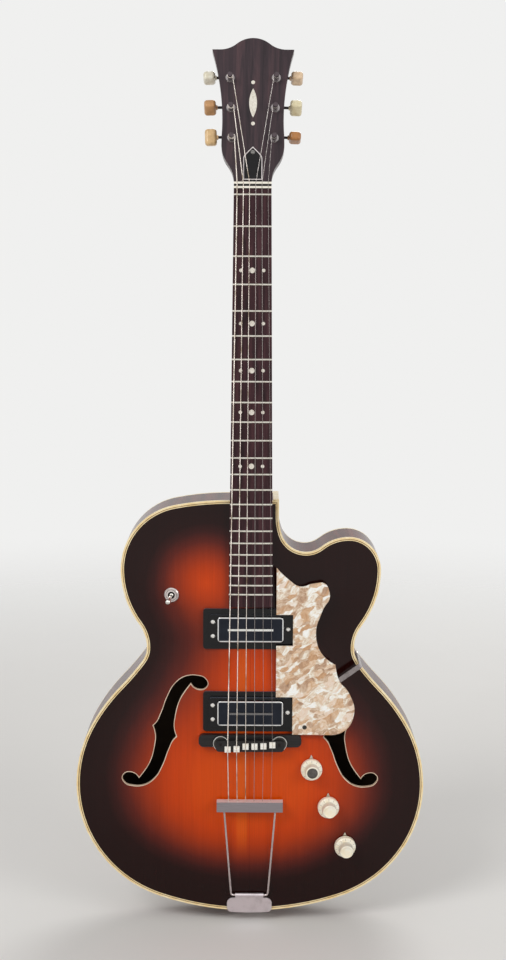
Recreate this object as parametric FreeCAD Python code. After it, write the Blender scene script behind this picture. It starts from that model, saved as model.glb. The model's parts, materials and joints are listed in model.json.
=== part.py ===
import FreeCAD, Part
import math
import os

# Archtop guitar, millimetres. Origin at the end pin's seat on the tail, +Z up the neck,
# front towards -Y, treble side towards +X. "Rise" is a height in front of the edge plane.

Vector = FreeCAD.Vector
Placement = FreeCAD.Placement
Rotation = FreeCAD.Rotation
AXIS_X = Vector(1, 0, 0)
AXIS_Y = Vector(0, 1, 0)
AXIS_Z = Vector(0, 0, 1)
ORIGIN = Vector(0, 0, 0)

# Clearances
GLUE = 0.1
RUN = 0.06
PART_GAP = 0.3

# Body outline: half widths, heights from the tail up, fullness of the first arc over the second
BODY_DEPTH = 64.0
LOWER_HALF_WIDTH = 207.3
LOWER_HEIGHT = 157.4
WAIST_HALF_WIDTH = 122.2
WAIST_ABOVE_LOWER = 168.9
UPPER_HALF_WIDTH = 152.5
UPPER_ABOVE_WAIST = 93.5
SHOULDER_ABOVE_UPPER = 82.7
NECK_SEAT_BASS = 26.0
NECK_SEAT_TREBLE = 32.5
HORN_REACH = 115.0
HORN_ABOVE_UPPER = 39.7
CUTAWAY_REACH = 64.5
CUTAWAY_ABOVE_UPPER = 21.7
CUTAWAY_NECK_DROP = 18.5
TAIL_FULLNESS = 0.53
FLANK_WIDTH_SHARE = 0.373
FLANK_HEIGHT_SHARE = 0.715
FLANK_STEEPNESS = 1.635
LOWER_FULLNESS = 1.43
FLANK_FULLNESS = 2.2
WAIST_FULLNESS = 0.43
SHOULDER_FULLNESS = 2.0
HORN_FULLNESS = 1.0
HORN_INNER_FULLNESS = 1.85
CUTAWAY_FULLNESS = 1.95

# Plates, sides and what holds them together
ARCH_RISE = 14.0
ARCH_FLAT = 6.0
PLATE = 4.0
RIB = 3.0
LINING_WIDTH = 6.0
LINING_HEIGHT = 14.0
BINDING_WIDTH = 2.0
PURFLING_DARK = 0.7
PURFLING_PALE = 1.0
PURFLING_DEPTH = 1.5
SEAT_STRIP = 1.4
NECK_BLOCK_LENGTH = 60.0
NECK_BLOCK_HALF_WIDTH = 38.0
TAIL_BLOCK_LENGTH = 26.0
TAIL_BLOCK_HALF_WIDTH = 45.0
TONE_BAR_REACH = 44.0
TONE_BAR_WIDTH = 6.0
TONE_BAR_LOW = 60.0
TONE_BAR_SHORT = 8.0
TONE_BAR_RISE = -6.0
GRID_STEP = 12.0
RIM_SAMPLES = 700
PEAK_STEPS = 40
PEAK_SEARCH = range(8, 32)

# F-holes, about their own centre, as seen on the treble side. "Ahead" is up from the scale's foot
F_HOLE_REACH = 101.0
F_HOLE_AHEAD = 12.6
F_HOLE_EDGING = 0.9
F_EYE = [(-31, 58.5), (-40.5, 51.5), (-47, 52.6), (-50.9, 59), (-48, 64.6), (-36.3, 68.1), (-23.6, 65.9),
         (-10.9, 55.7), (-3.1, 41.4), (4.3, 21.5), (9.6, 10.4), (13.8, 6)]
F_STEM = [(13.8, 6), (10.9, -4), (12.3, -20.4), (17.5, -38.1), (26, -52), (31, -58.5)]

# Neck, fingerboard and headstock
SCALE_LENGTH = 640.0
JOINT_FRET = 14
JOINT_SHORT = 3.0
FRET_COUNT = 22
NECK_ANGLE = 3.4
BOARD_RISE = 10.0
BOARD_THICK = 5.5
BOARD_PAST_FRET = 14.6
BOARD_HALF_AT_NUT = 21.5
BOARD_HALF_AT_END = 25.6
CAMBER_RADIUS = 305.0
FRET_WIDTH = 2.4
FRET_HEIGHT = 1.2
ZERO_FRET_HEIGHT = 1.4
DOT_FRETS = (3, 5, 7, 9, 12)
DOT_RADIUS = 3.2
DOT_SIDE_RADIUS = 2.0
DOT_SIDE_REACH = 13.0
DOT_DEPTH = 1.5
NUT_AHEAD = 7.0
NUT_LENGTH = 7.2
NUT_RISE = 2.3
NUT_GROOVE = 2.6
SHAFT_DEPTH_NUT = 15.0
SHAFT_DEPTH_HEEL = 18.0
HEEL_LENGTH = 62.0
HEEL_SHORT = 2.0
HEEL_SWEEP = 2.4
HEEL_SECTIONS = 6
HEEL_OVERLAP = 4.0
TENON_HALF_WIDTH = 12.0
TENON_DEPTH = 20.0
TENON_SHORT = 12.0
TONGUE_LENGTH = 100.0
TONGUE_HALF_WIDTH = 22.0
TRUSS_RADIUS = 2.5
TRUSS_CHANNEL = 6.0
TRUSS_DEPTH = 8.0
TRUSS_POCKET = 17.0
HEAD_ANGLE = 9.1
HEAD_DROP = 3.5
HEAD_THICK = 14.5
VENEER = 1.5
HEAD_LOWER_HALF = 36.0
HEAD_LOWER_AT = 43.0
HEAD_WAIST_HALF = 35.1
HEAD_WAIST_ABOVE_LOWER = 28.4
HEAD_TOP_HALF = 47.0
HEAD_TOP_ABOVE_WAIST = 83.0
HEAD_CROWN_HALF = 38.0
HEAD_CROWN_ABOVE_TOP = 13.5
COVER_LENGTH = 39.2
COVER_HALF_WIDTH = 11.2
COVER_START = 2.0
COVER_THICK = 1.6
COVER_SPRING_SHARE = 0.62
COVER_POINT = 137.0
COVER_FULLNESS = 0.5
INLAY_AT = 92.0
INLAY_HALF_LENGTH = 17.0
INLAY_HALF_WIDTH = 4.5
INLAY_DOT_RADIUS = 2.2
INLAY_DOT_REACH = 24.0
INLAY_DEPTH = 0.8

# Tuners: three in line on each side
POST_FIRST_AT = 51.3
POST_PITCH = 35.0
POST_FIRST_REACH = 24.3
POST_SPREAD = 1.1
POST_RADIUS = 3.0
POST_WAIST_RADIUS = 2.5
POST_OUT = 13.5
POST_HEAD = 3.5
POST_EDGE = 0.6
BUSH_FLANGE_RADIUS = 5.5
BUSH_FLANGE = 1.3
BUSH_RADIUS = 4.6
BUSH_LENGTH = 7.0
TUNER_PLATE = 1.2
TUNER_PLATE_WIDTH = 17.0
TUNER_PLATE_END = 16.0
GEAR_TEETH = 14
GEAR_PITCH_RADIUS = 4.2
GEAR_TOOTH = 0.5
GEAR_WIDTH = 2.5
WORM_CORE_RADIUS = 2.2
WORM_TURNS = 4.5
WORM_STEPS = 8
MESH_GAP = 0.35
WORM_BACK = 3.1
SHAFT_RADIUS = 1.6
COLLAR_RADIUS = 2.8
EAR_THICK = 1.6
EAR_HALF = 3.4
EAR_GAP = 0.2
BUTTON_REACH = 24.0
BUTTON_LENGTH = 13.8
BUTTON_WIDE = 19.0
BUTTON_THICK = 10.5
BUTTON_ROUND = 3.6
BUTTON_TURNS = (0.0, 64.0, 82.0, 78.0, 60.0, 86.0)

# Strings, bass to treble
STRING_DIAMETERS = (1.32, 1.06, 0.82, 0.56, 0.43, 0.33)
STRING_SPREAD_NUT = 35.4
STRING_SPREAD_BRIDGE = 52.4
STRING_SPREAD_TAIL = 50.0
SADDLES_AHEAD = (-2.6, -2.0, 1.2, 1.2, 1.6, 2.8)
SADDLE_RISE = 32.0
STRING_GAP = 0.06
WRAP_TURNS = 3
WRAP_GAP = 0.5
WRAP_START = 4.5
WRAP_LEAVE = 0.6
WRAP_SAMPLES = 40
STRING_BENDS = (4.0, 20.0, 3.0)
BALL_RADIUS = 2.0

# Bridge
BRIDGE_AHEAD = 4.6
BRIDGE_HALF_LENGTH = 60.5
BRIDGE_WIDTH = 14.8
BRIDGE_END_ROUND = 0.8
BRIDGE_BASE_RISE = 21.0
STUD_REACH = 34.5
STUD_AHEAD = 2.6
STUD_RADIUS = 2.0
STUD_RISE = 28.6
STUD_SEAT = 5.0
WHEEL_RADIUS = 9.0
WHEEL_THICK = 2.6
WHEEL_EDGE = 0.4
WHEEL_TRAVEL = 1.4
BEAM_AHEAD = 0.6
BEAM_HALF_LENGTH = 40.0
BEAM_WIDTH = 13.0
BEAM_THICK = 4.0
BEAM_END_ROUND = 0.6
SADDLE_SIDE = 7.0
SADDLE_CREST = 1.0

# Tailpiece
BAR_HALF_LENGTH = 39.0
BAR_TOP_HEIGHT = 146.5
BAR_FACE = 12.0
BAR_DEPTH = 11.0
BAR_WALL = 1.8
BAR_RISE = 29.0
BAR_HOLE_RISE = 24.0
WIRE_RADIUS = 1.3
WIRE_TOP_REACH = 31.0
WIRE_FOOT_REACH = 22.0
WIRE_BEND = 3.2
HINGE_RISE = 4.4
HINGE_HEIGHT = 21.5
KNUCKLE_WALL = 1.3
KNUCKLE_HALF_LENGTH = 17.0
BRACKET_HALF_WIDTH = 27.0
BRACKET_THICK = 1.5
BRACKET_TOP = 17.0
BRACKET_RISE = 0.9
BRACKET_BACK = 16.0
BRACKET_ROUND = 7.0
FLANGE_HALF_WIDTH = 19.0
PIN_RADIUS = 4.5
PIN_HEAD_RADIUS = 7.5
PIN_GRIP = 8.0
PIN_HEAD = 3.5
PIN_EDGE = 0.8
PIN_SHANK_RADIUS = 3.5
PIN_SHANK = 20.0

# Pickups, neck then bridge: places of their middles, rises of ring and cover
PICKUP_BELOW_BOARD = 26.9
PICKUP_AHEAD = 39.1
RING_RISES = (15.2, 20.5)
COVER_RISES = (18.2, 25.0)
RING_HALF_LENGTH = 55.5
RING_HALF_WIDTH = 24.0
TIER_HALF_LENGTH = 48.5
TIER_HALF_WIDTH = 17.5
RING_ROUND = 3.5
FLANGE_RISE = 1.8
PICKUP_HALF_LENGTH = 38.6
PICKUP_HALF_WIDTH = 14.9
PICKUP_DEPTH = 19.0
PICKUP_WALL = 0.8
PICKUP_ROUND = 4.0
PICKUP_RIM = 1.4
PICKUP_RECESS = 0.5
PICKUP_FIT = 0.4
BLADE_HALF_LENGTH = 26.5
BLADE_HALF_WIDTH = 1.2
BLADE_PROUD = 0.9
RING_SCREWS = ((-44.0, 8.5), (-44.0, -8.5), (44.0, 0.0))

# Pickguard
GUARD_RISE = 20.5
GUARD_THICK = 2.4
GUARD_SCREW_PAST = 4.0
GUARD_BEVEL = 0.7
GUARD_EDGE = 30.0
GUARD_TOP = 212.6
GUARD_FOOT = 12.1
GUARD_STEP = 7.1
GUARD_CLEAR = 1.0
GUARD_UPPER = [(43, 13.0), (57, 22.0), (74, 18.4), (85.5, 18.2), (92, 31.0), (83.2, 52.0),
               (76.4, 75.0), (82, 100.0), (99.4, 115.4)]  # reach and drop below the guard's top
GUARD_LOWER = [(100.6, 90.1), (104.5, 77.6), (115, 64.4), (122.4, 39.6), (111, 17.1), (95, 12.1)]
STRAP_WIDTH = 6.0
STRAP_THICK = 1.5
STRAP_CLEAR = 0.4
STRAP_LENGTH = 38.0
STRAP_DROP = 40.0
GUARD_FOOT_REACH = 64.0
GUARD_FOOT_AHEAD = 21.6
GUARD_FOOT_RADIUS = 4.0

# Controls: the knobs' heights are from the lower bout's widest place
KNOB_SPOTS = ((72.6, 26.0), (93.1, -21.0), (113.8, -71.5))
KNOB_RADIUS = 12.6
KNOB_TOP_RADIUS = 8.0
KNOB_SKIRT = 6.5
KNOB_HEIGHT = 17.5
KNOB_LIFT = 2.0
KNOB_DISH = 1.0
KNOB_EDGE = 1.5
KNOB_DISH_RADIUS = 6.4
KNOB_CROWN = 2.0
KNOB_ROOM = 3.0
KNOB_ROOM_RADIUS = 7.2
POT_RADIUS = 12.0
POT_DEPTH = 10.0
POT_FLOOR = 2.0
POT_SEAT = PLATE + 0.5
POT_BUSH_RADIUS = 4.7
POT_BUSH_PROUD = 0.8
POT_NUT = 1.4
POT_NUT_RADIUS = 6.6
POT_SHAFT_RADIUS = 3.0
POINTER_REACH = 17.0
POINTER_HALF_WIDTH = 8.0
POINTER_THICK = 0.5
SWITCH_REACH = -92.5
SWITCH_BELOW_UPPER = 28.5
SWITCH_NUT_RADIUS = 8.7
SWITCH_NUT = 3.0
SWITCH_EDGE = 1.0
SWITCH_BUSH_RADIUS = 5.8
SWITCH_BODY = (20.0, 24.0, 16.0)
LEVER_TILT = 20.0
LEVER_TURN = 18.0
LEVER_LENGTH = 15.0
LEVER_RADIUS = 1.6
LEVER_TIP_RADIUS = 3.4
LEVER_PIVOT_RADIUS = 3.0
LEVER_PIN_RADIUS = 1.0
LEVER_PIN_REACH = 3.8
LEVER_SPARE_TILT = 6.0
LEVER_TIP_TAPER = 0.75
JACK_BORE_RADIUS = 3.2
JACK_BUSH_RADIUS = 4.7
JACK_FLANGE_RADIUS = 11.0
JACK_FLANGE = 2.0
JACK_EDGE = 1.0
JACK_BODY_RADIUS = 8.7
JACK_NECK = RIB + 3.0
JACK_DEPTH = 24.0
JACK_END = 2.0
LEAD_RADIUS = 1.2
LEAD_STEP = 12.0
LEAD_BEND = 4.0

# Screws
SCREW_RADIUS = 1.3
SCREW_HEAD_RADIUS = 2.6
SCREW_HEAD = 1.4
SCREW_DOME = (0.6, 0.85)
SCREW_SLOT_FLOOR = 0.45
SCREW_SLOT = 0.6
SCREW_LENGTH = 8.0
TAIL_SCREW_SHARE = 0.72
TUNER_SCREW_SHARES = (-1.32, -0.42, 0.62, 1.32)
COVER_SCREW_SHARE = 0.83

# Derived places
WAIST_HEIGHT = LOWER_HEIGHT + WAIST_ABOVE_LOWER
FLANK_HALF_WIDTH = WAIST_HALF_WIDTH + (LOWER_HALF_WIDTH - WAIST_HALF_WIDTH) * FLANK_WIDTH_SHARE
FLANK_HEIGHT = LOWER_HEIGHT + WAIST_ABOVE_LOWER * FLANK_HEIGHT_SHARE
FLANK_CHORD = math.atan2(LOWER_HALF_WIDTH - WAIST_HALF_WIDTH, WAIST_ABOVE_LOWER)
FLANK_LEAN = FLANK_STEEPNESS * math.degrees(FLANK_CHORD)
UPPER_HEIGHT = WAIST_HEIGHT + UPPER_ABOVE_WAIST
SHOULDER_HEIGHT = UPPER_HEIGHT + SHOULDER_ABOVE_UPPER
HORN_HEIGHT = UPPER_HEIGHT + HORN_ABOVE_UPPER
CUTAWAY_HEIGHT = UPPER_HEIGHT + CUTAWAY_ABOVE_UPPER
CUTAWAY_NECK_HEIGHT = SHOULDER_HEIGHT - CUTAWAY_NECK_DROP
JOINT_HEIGHT = SHOULDER_HEIGHT - JOINT_SHORT
TONE_BAR_HIGH = UPPER_HEIGHT - TONE_BAR_SHORT
SWITCH_HEIGHT = UPPER_HEIGHT - SWITCH_BELOW_UPPER
KNOB_PLACES = [(x, LOWER_HEIGHT + rise) for x, rise in KNOB_SPOTS]
HEAD_WAIST_AT = HEAD_LOWER_AT + HEAD_WAIST_ABOVE_LOWER
HEAD_TOP_AT = HEAD_WAIST_AT + HEAD_TOP_ABOVE_WAIST
HEAD_CROWN_AT = HEAD_TOP_AT + HEAD_CROWN_ABOVE_TOP
FRONT = -BODY_DEPTH / 2
BACK = BODY_DEPTH / 2
BOARD_TOP = FRONT - BOARD_RISE
BOARD_FLOOR = BOARD_TOP + BOARD_THICK
CAMBER_AXIS = BOARD_TOP + CAMBER_RADIUS
ZERO_FRET = JOINT_HEIGHT + SCALE_LENGTH * (1 - 2 ** (-JOINT_FRET / 12))
SCALE_FOOT = ZERO_FRET - SCALE_LENGTH
BOARD_END = SCALE_FOOT + SCALE_LENGTH * 2 ** (-FRET_COUNT / 12) - BOARD_PAST_FRET
PICKUP_HEIGHTS = (BOARD_END - PICKUP_BELOW_BOARD, SCALE_FOOT + PICKUP_AHEAD)
F_HOLE_HEIGHT = SCALE_FOOT + F_HOLE_AHEAD
BRIDGE_HEIGHT = SCALE_FOOT + BRIDGE_AHEAD
STUD_HEIGHT = SCALE_FOOT + STUD_AHEAD
BEAM_HEIGHT = SCALE_FOOT + BEAM_AHEAD
GUARD_FOOT_HEIGHT = SCALE_FOOT + GUARD_FOOT_AHEAD
NUT_FRONT = ZERO_FRET + NUT_AHEAD
NUT_REAR = NUT_FRONT + NUT_LENGTH
WORM_OFFSET = GEAR_PITCH_RADIUS + WORM_CORE_RADIUS + MESH_GAP
WORM_PITCH = 2 * math.pi * GEAR_PITCH_RADIUS / GEAR_TEETH
WORM_LENGTH = WORM_TURNS * WORM_PITCH
EAR_AT = max(WORM_LENGTH / 2, GEAR_PITCH_RADIUS + GEAR_TOOTH) + EAR_GAP
PLATE_BACK = VENEER + HEAD_THICK + GLUE + TUNER_PLATE
WORM_Y = PLATE_BACK + WORM_BACK
WHEEL_TOP_RISE = BRIDGE_BASE_RISE + WHEEL_TRAVEL + WHEEL_THICK
BEAM_RISE = WHEEL_TOP_RISE + GLUE

NECK_PLACE = Placement(ORIGIN, Rotation(AXIS_X, -NECK_ANGLE), Vector(0, BOARD_TOP, JOINT_HEIGHT))
HEAD_SEAT = Placement(Vector(0, BOARD_TOP + HEAD_DROP, NUT_REAR), Rotation(AXIS_X, -HEAD_ANGLE))
HEAD_PLACE = NECK_PLACE.multiply(HEAD_SEAT)


# Small shape helpers

def moved(shape, placement):
    copy = shape.copy()
    copy.Placement = placement.multiply(copy.Placement)
    return copy


def mirrored(shape):
    return shape.mirror(ORIGIN, AXIS_X)


def box(low, high):
    size = [high[i] - low[i] for i in range(3)]
    return Part.makeBox(size[0], size[1], size[2], Vector(*low))


def rod(start, end, radius):
    axis = end - start
    return Part.makeCylinder(radius, axis.Length, start, axis)


def turned(profile):
    points = [Vector(radius, reach, 0) for radius, reach in profile]
    face = Part.Face(Part.makePolygon(points + points[:1]))
    return face.revolve(ORIGIN, AXIS_Y, 360)


def prism(wire, y_low, y_high):
    face = Part.Face(wire)
    face.translate(Vector(0, y_low, 0))
    return face.extrude(Vector(0, y_high - y_low, 0))


def rounded_block(half_x, half_z, y_low, y_high, corner):
    block = box((-half_x, y_low, -half_z), (half_x, y_high, half_z))
    upright = [e for e in block.Edges if abs(e.tangentAt(e.FirstParameter).y) > 0.9]
    return block.makeFillet(corner, upright)


def at(shape, x, y, z):
    copy = shape.copy()
    copy.translate(Vector(x, y, z))
    return copy


def export(name, solids):
    shape = solids[0] if len(solids) == 1 else Part.makeCompound(solids)
    shape.exportStep("parts/" + name + ".step")
    state = "valid" if shape.isValid() else "INVALID"
    print(name, len(shape.Solids), "solids", round(shape.Volume), "mm3", state)


# Outlines made of arcs: a span is a list of (point, direction), two for a line and three for an arc

def heading(degrees):
    angle = math.radians(degrees)
    return Vector(math.cos(angle), 0, math.sin(angle))


def left_of(direction):
    side = Vector(-direction.z, 0, direction.x)
    return side.normalize()


def arc_span(start, start_dir, corner, end, end_dir):
    weight = (end - start).Length / 2 / (corner - start).Length
    middle = (start + corner * (2 * weight) + end) * (1 / (2 + 2 * weight))
    if weight > 0.999999:
        return [(start, start_dir), (end, end_dir)]
    return [(start, start_dir), (middle, end - start), (end, end_dir)]


def biarc(start, start_dir, end, end_dir, ratio=1.0):
    span = end - start
    bend = 2 * ratio * (1 - start_dir.dot(end_dir))
    pull = ratio * span.dot(start_dir) + span.dot(end_dir)
    reach = span.dot(span)
    if bend < 1e-9:
        second = reach / (2 * pull)
    else:
        second = (math.sqrt(pull * pull + bend * reach) - pull) / bend
    first = ratio * second
    corner = start + start_dir * first
    last_corner = end - end_dir * second
    join = corner + (last_corner - corner) * (first / (first + second))
    join_dir = (last_corner - corner).normalize()
    return [arc_span(start, start_dir, corner, join, join_dir),
            arc_span(join, join_dir, last_corner, end, end_dir)]


def span_edge(span, inset=0.0):
    points = [point + left_of(direction) * inset if inset else point for point, direction in span]
    if len(points) == 2:
        return Part.LineSegment(points[0], points[1]).toShape()
    return Part.Arc(points[0], points[1], points[2]).toShape()


def chain(stations):
    spans = []
    for (x, z, degrees, ratio), (x2, z2, degrees2, _) in zip(stations, stations[1:]):
        spans += biarc(Vector(x, 0, z), heading(degrees), Vector(x2, 0, z2), heading(degrees2), ratio)
    return spans


def smooth(points):
    places = [Vector(x, 0, z) for x, z in points]
    tangents = [None] * len(places)
    for i in range(1, len(places) - 1):
        before = places[i] - places[i - 1]
        after = places[i + 1] - places[i]
        tangents[i] = (before * (1 / before.dot(before)) + after * (1 / after.dot(after))).normalize()
    for end, inner in ((0, 1), (len(places) - 1, len(places) - 2)):
        chord = (places[inner] - places[end]).normalize()
        tangents[end] = chord * (2 * chord.dot(tangents[inner])) - tangents[inner]
    spans = []
    for i in range(len(places) - 1):
        spans += biarc(places[i], tangents[i], places[i + 1], tangents[i + 1])
    return spans


def line(start, end):
    return Part.LineSegment(Vector(start[0], 0, start[1]), Vector(end[0], 0, end[1])).toShape()


def wire_of(edges):
    return Part.Wire(Part.__sortEdges__(edges))


# Tubes along straight runs with rounded corners

def rounded_path(points, radii):
    edges = []
    last = points[0]
    for i, radius in enumerate(radii, start=1):
        before = (points[i] - points[i - 1]).normalize()
        after = (points[i + 1] - points[i]).normalize()
        turn = before.getAngle(after)
        cut = radius * math.tan(turn / 2)
        start = points[i] - before * cut
        end = points[i] + after * cut
        span = arc_span(start, before, points[i], end, after)
        edges.append(Part.LineSegment(last, start).toShape())
        edges.append(span_edge(span))
        last = end
    edges.append(Part.LineSegment(last, points[-1]).toShape())
    return Part.Wire(edges)


def tube(path, radius):
    first = path.Edges[0]
    start = first.valueAt(first.FirstParameter)
    ring = Part.Wire(Part.makeCircle(radius, start, first.tangentAt(first.FirstParameter)))
    return path.makePipeShell([ring], True, False)


# Body outline and arch

def body_spans():
    treble = chain([(0, 0, 0, TAIL_FULLNESS), (LOWER_HALF_WIDTH, LOWER_HEIGHT, 90, LOWER_FULLNESS),
                    (FLANK_HALF_WIDTH, FLANK_HEIGHT, 90 + FLANK_LEAN, FLANK_FULLNESS),
                    (WAIST_HALF_WIDTH, WAIST_HEIGHT, 90, WAIST_FULLNESS),
                    (UPPER_HALF_WIDTH, UPPER_HEIGHT, 90, HORN_FULLNESS),
                    (HORN_REACH, HORN_HEIGHT, 180, HORN_INNER_FULLNESS),
                    (CUTAWAY_REACH, CUTAWAY_HEIGHT, 180, CUTAWAY_FULLNESS),
                    (NECK_SEAT_TREBLE, CUTAWAY_NECK_HEIGHT, 90, 1)])
    bass = chain([(-NECK_SEAT_BASS, SHOULDER_HEIGHT, 180, 1 / SHOULDER_FULLNESS),
                  (-UPPER_HALF_WIDTH, UPPER_HEIGHT, 270, 1 / WAIST_FULLNESS),
                  (-WAIST_HALF_WIDTH, WAIST_HEIGHT, 270, 1 / FLANK_FULLNESS),
                  (-FLANK_HALF_WIDTH, FLANK_HEIGHT, 270 - FLANK_LEAN, 1 / LOWER_FULLNESS),
                  (-LOWER_HALF_WIDTH, LOWER_HEIGHT, 270, 1 / TAIL_FULLNESS), (0, 0, 360, 1)])
    return treble, bass


TREBLE_SPANS, BASS_SPANS = body_spans()
JACK_SEAT, JACK_ALONG = TREBLE_SPANS[1][1]
STRAP_SEAT, STRAP_ALONG = TREBLE_SPANS[4][-1]


def body_wire(inset):
    corner = (NECK_SEAT_TREBLE - inset, SHOULDER_HEIGHT - inset)
    edges = [span_edge(span, inset) for span in TREBLE_SPANS]
    edges.append(line((corner[0], CUTAWAY_NECK_HEIGHT), corner))
    edges.append(line(corner, (-NECK_SEAT_BASS, corner[1])))
    edges += [span_edge(span, inset) for span in BASS_SPANS]
    return Part.Wire(edges)


def body_ring(outer_inset, inner_inset, y_low, y_high):
    inner = prism(body_wire(inner_inset), y_low - 1, y_high + 1)
    return prism(body_wire(outer_inset), y_low, y_high).cut(inner)


RIM_WIRE = body_wire(0)
RIM_POINTS = [(p.x, p.z) for p in RIM_WIRE.discretize(RIM_SAMPLES)]
RIM_PITCH = RIM_WIRE.Length / (RIM_SAMPLES - 1)


def inside_rim(x, z):
    crossings = False
    for (x1, z1), (x2, z2) in zip(RIM_POINTS, RIM_POINTS[1:]):
        if (z1 > z) != (z2 > z) and x < x1 + (z - z1) * (x2 - x1) / (z2 - z1):
            crossings = not crossings
    return crossings


def rim_reach(x, z):
    pull = sum(((x - px) ** 2 + (z - pz) ** 2 + 1e-6) ** -1.5 for px, pz in RIM_POINTS)
    return math.sqrt(2 / (pull * RIM_PITCH))


PEAK_REACH = max(rim_reach(0, SHOULDER_HEIGHT * step / PEAK_STEPS) for step in PEAK_SEARCH)


def arch_rise(x, z):
    if not inside_rim(x, z):
        return 0.0
    share = (rim_reach(x, z) - ARCH_FLAT) / (PEAK_REACH - ARCH_FLAT)
    share = min(max(share, 0.0), 1.0)
    return ARCH_RISE * share * share * (3 - 2 * share)


def arch_face():
    half_width = max(LOWER_HALF_WIDTH, UPPER_HALF_WIDTH) + GRID_STEP
    columns = math.ceil(2 * half_width / GRID_STEP)
    low, high = -GRID_STEP, SHOULDER_HEIGHT + GRID_STEP
    rows = math.ceil((high - low) / GRID_STEP)
    grid = []
    for i in range(columns + 1):
        x = -half_width + 2 * half_width * i / columns
        heights = [low + (high - low) * j / rows for j in range(rows + 1)]
        grid.append([Vector(x, FRONT - arch_rise(x, z), z) for z in heights])
    surface = Part.BSplineSurface()
    surface.interpolate(grid)
    return surface.toShape()


ARCH = arch_face()
DEEP = 2 * BODY_DEPTH


def slab(y_start, y_end):
    face = ARCH.copy()
    face.translate(Vector(0, y_start, 0))
    return face.extrude(Vector(0, y_end - y_start, 0))


TOP_SLAB = slab(0, PLATE)
ABOVE_TOP = slab(-DEEP, -GLUE)
BELOW_TOP = slab(PLATE + GLUE, PLATE + GLUE + DEEP)
ABOVE_BACK = BELOW_TOP.mirror(ORIGIN, AXIS_Y)


def front_of(x, z):
    return FRONT - arch_rise(x, z)


def surface_place(x, z):
    step = 2.0
    slope_x = (arch_rise(x + step, z) - arch_rise(x - step, z)) / (2 * step)
    slope_z = (arch_rise(x, z + step) - arch_rise(x, z - step)) / (2 * step)
    normal = Vector(-slope_x, -1, -slope_z)
    return Placement(Vector(x, front_of(x, z), z), Rotation(Vector(0, -1, 0), normal))


# F-holes

def f_hole_wire():
    half = smooth(F_EYE) + smooth(F_STEM)
    edges = [span_edge(span) for span in half]
    turned_half = [edge.copy() for edge in edges]
    for edge in turned_half:
        edge.rotate(ORIGIN, AXIS_Y, 180)
    wire = wire_of(edges + turned_half)
    wire.translate(Vector(F_HOLE_REACH, 0, F_HOLE_HEIGHT))
    return wire


def f_hole_prism(grow):
    wire = f_hole_wire()
    if grow:
        wire = wire.makeOffset2D(grow)
    return prism(wire, FRONT - DEEP, BACK / 2)


def both_sides(shape):
    return [mirrored(shape), shape]


def f_hole_bindings():
    ring = f_hole_prism(F_HOLE_EDGING - GLUE / 2).cut(f_hole_prism(0))
    return both_sides(ring.common(TOP_SLAB))


# Body pieces

def pickup_openings():
    half_x = PICKUP_HALF_LENGTH + PICKUP_FIT
    half_z = PICKUP_HALF_WIDTH + PICKUP_FIT
    return [box((-half_x, FRONT - DEEP, z - half_z), (half_x, 0, z + half_z)) for z in PICKUP_HEIGHTS]


def control_holes():
    pot_hole = Part.makeCylinder(POT_BUSH_RADIUS + GLUE, DEEP, Vector(0, -DEEP / 2, 0), AXIS_Y)
    holes = [moved(pot_hole, surface_place(x, z)) for x, z in KNOB_PLACES]
    switch_hole = Part.makeCylinder(SWITCH_BUSH_RADIUS + GLUE, DEEP, Vector(0, -DEEP / 2, 0), AXIS_Y)
    return holes + [moved(switch_hole, surface_place(SWITCH_REACH, SWITCH_HEIGHT))]


def soundboard():
    plate = TOP_SLAB.common(prism(body_wire(BINDING_WIDTH + GLUE), FRONT - DEEP, BACK / 2))
    ledge = BINDING_WIDTH + PURFLING_DARK + PURFLING_PALE + 2 * GLUE
    step = body_ring(0, ledge, FRONT - DEEP / 2, FRONT + PURFLING_DEPTH + GLUE)
    holes = both_sides(f_hole_prism(F_HOLE_EDGING)) + pickup_openings() + control_holes() + screw_holes("top")
    return [plate.cut(step).cut(holes)]


def back_plate():
    plate = TOP_SLAB.common(prism(body_wire(BINDING_WIDTH + GLUE), FRONT - DEEP, BACK / 2))
    return [plate.mirror(ORIGIN, AXIS_Y)]


def bindings():
    front = body_ring(0, BINDING_WIDTH, FRONT, FRONT + PLATE)
    inner = BINDING_WIDTH + PURFLING_DARK + 2 * GLUE
    pale = body_ring(inner, inner + PURFLING_PALE - GLUE, FRONT, FRONT + PURFLING_DEPTH)
    back = front.mirror(ORIGIN, AXIS_Y)
    strip_foot = SHOULDER_HEIGHT + GLUE
    strip = box((BOARD_HALF_AT_END + GLUE, FRONT + GLUE, strip_foot),
                (NECK_SEAT_TREBLE, BACK - GLUE, strip_foot + SEAT_STRIP))
    return [front, pale, back, strip]


def purfling():
    inner = BINDING_WIDTH + GLUE
    return [body_ring(inner, inner + PURFLING_DARK, FRONT, FRONT + PURFLING_DEPTH)]


def tenon(grow):
    half = TENON_HALF_WIDTH + grow
    return box((-half, FRONT + PLATE + GLUE - grow, SHOULDER_HEIGHT - TENON_DEPTH - grow),
               (half, BACK - PLATE - TENON_SHORT + grow, SHOULDER_HEIGHT + 2 * RIB))


def jack_hole(radius):
    outward = left_of(JACK_ALONG) * -1
    return rod(JACK_SEAT - outward * JACK_DEPTH, JACK_SEAT + outward * JACK_DEPTH, radius)


def pin_hole(radius):
    return rod(Vector(0, 0, -PIN_GRIP), Vector(0, 0, PIN_SHANK + GLUE), radius)


def rib_seams():
    half = GLUE / 2
    middle = box((-half, FRONT, -RIB), (half, BACK, SHOULDER_HEIGHT + RIB))
    low = HORN_HEIGHT - 2 * RIB
    horn = box((HORN_REACH - half, FRONT, low), (HORN_REACH + half, BACK, HORN_HEIGHT + RIB))
    return [middle, horn]


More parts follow.
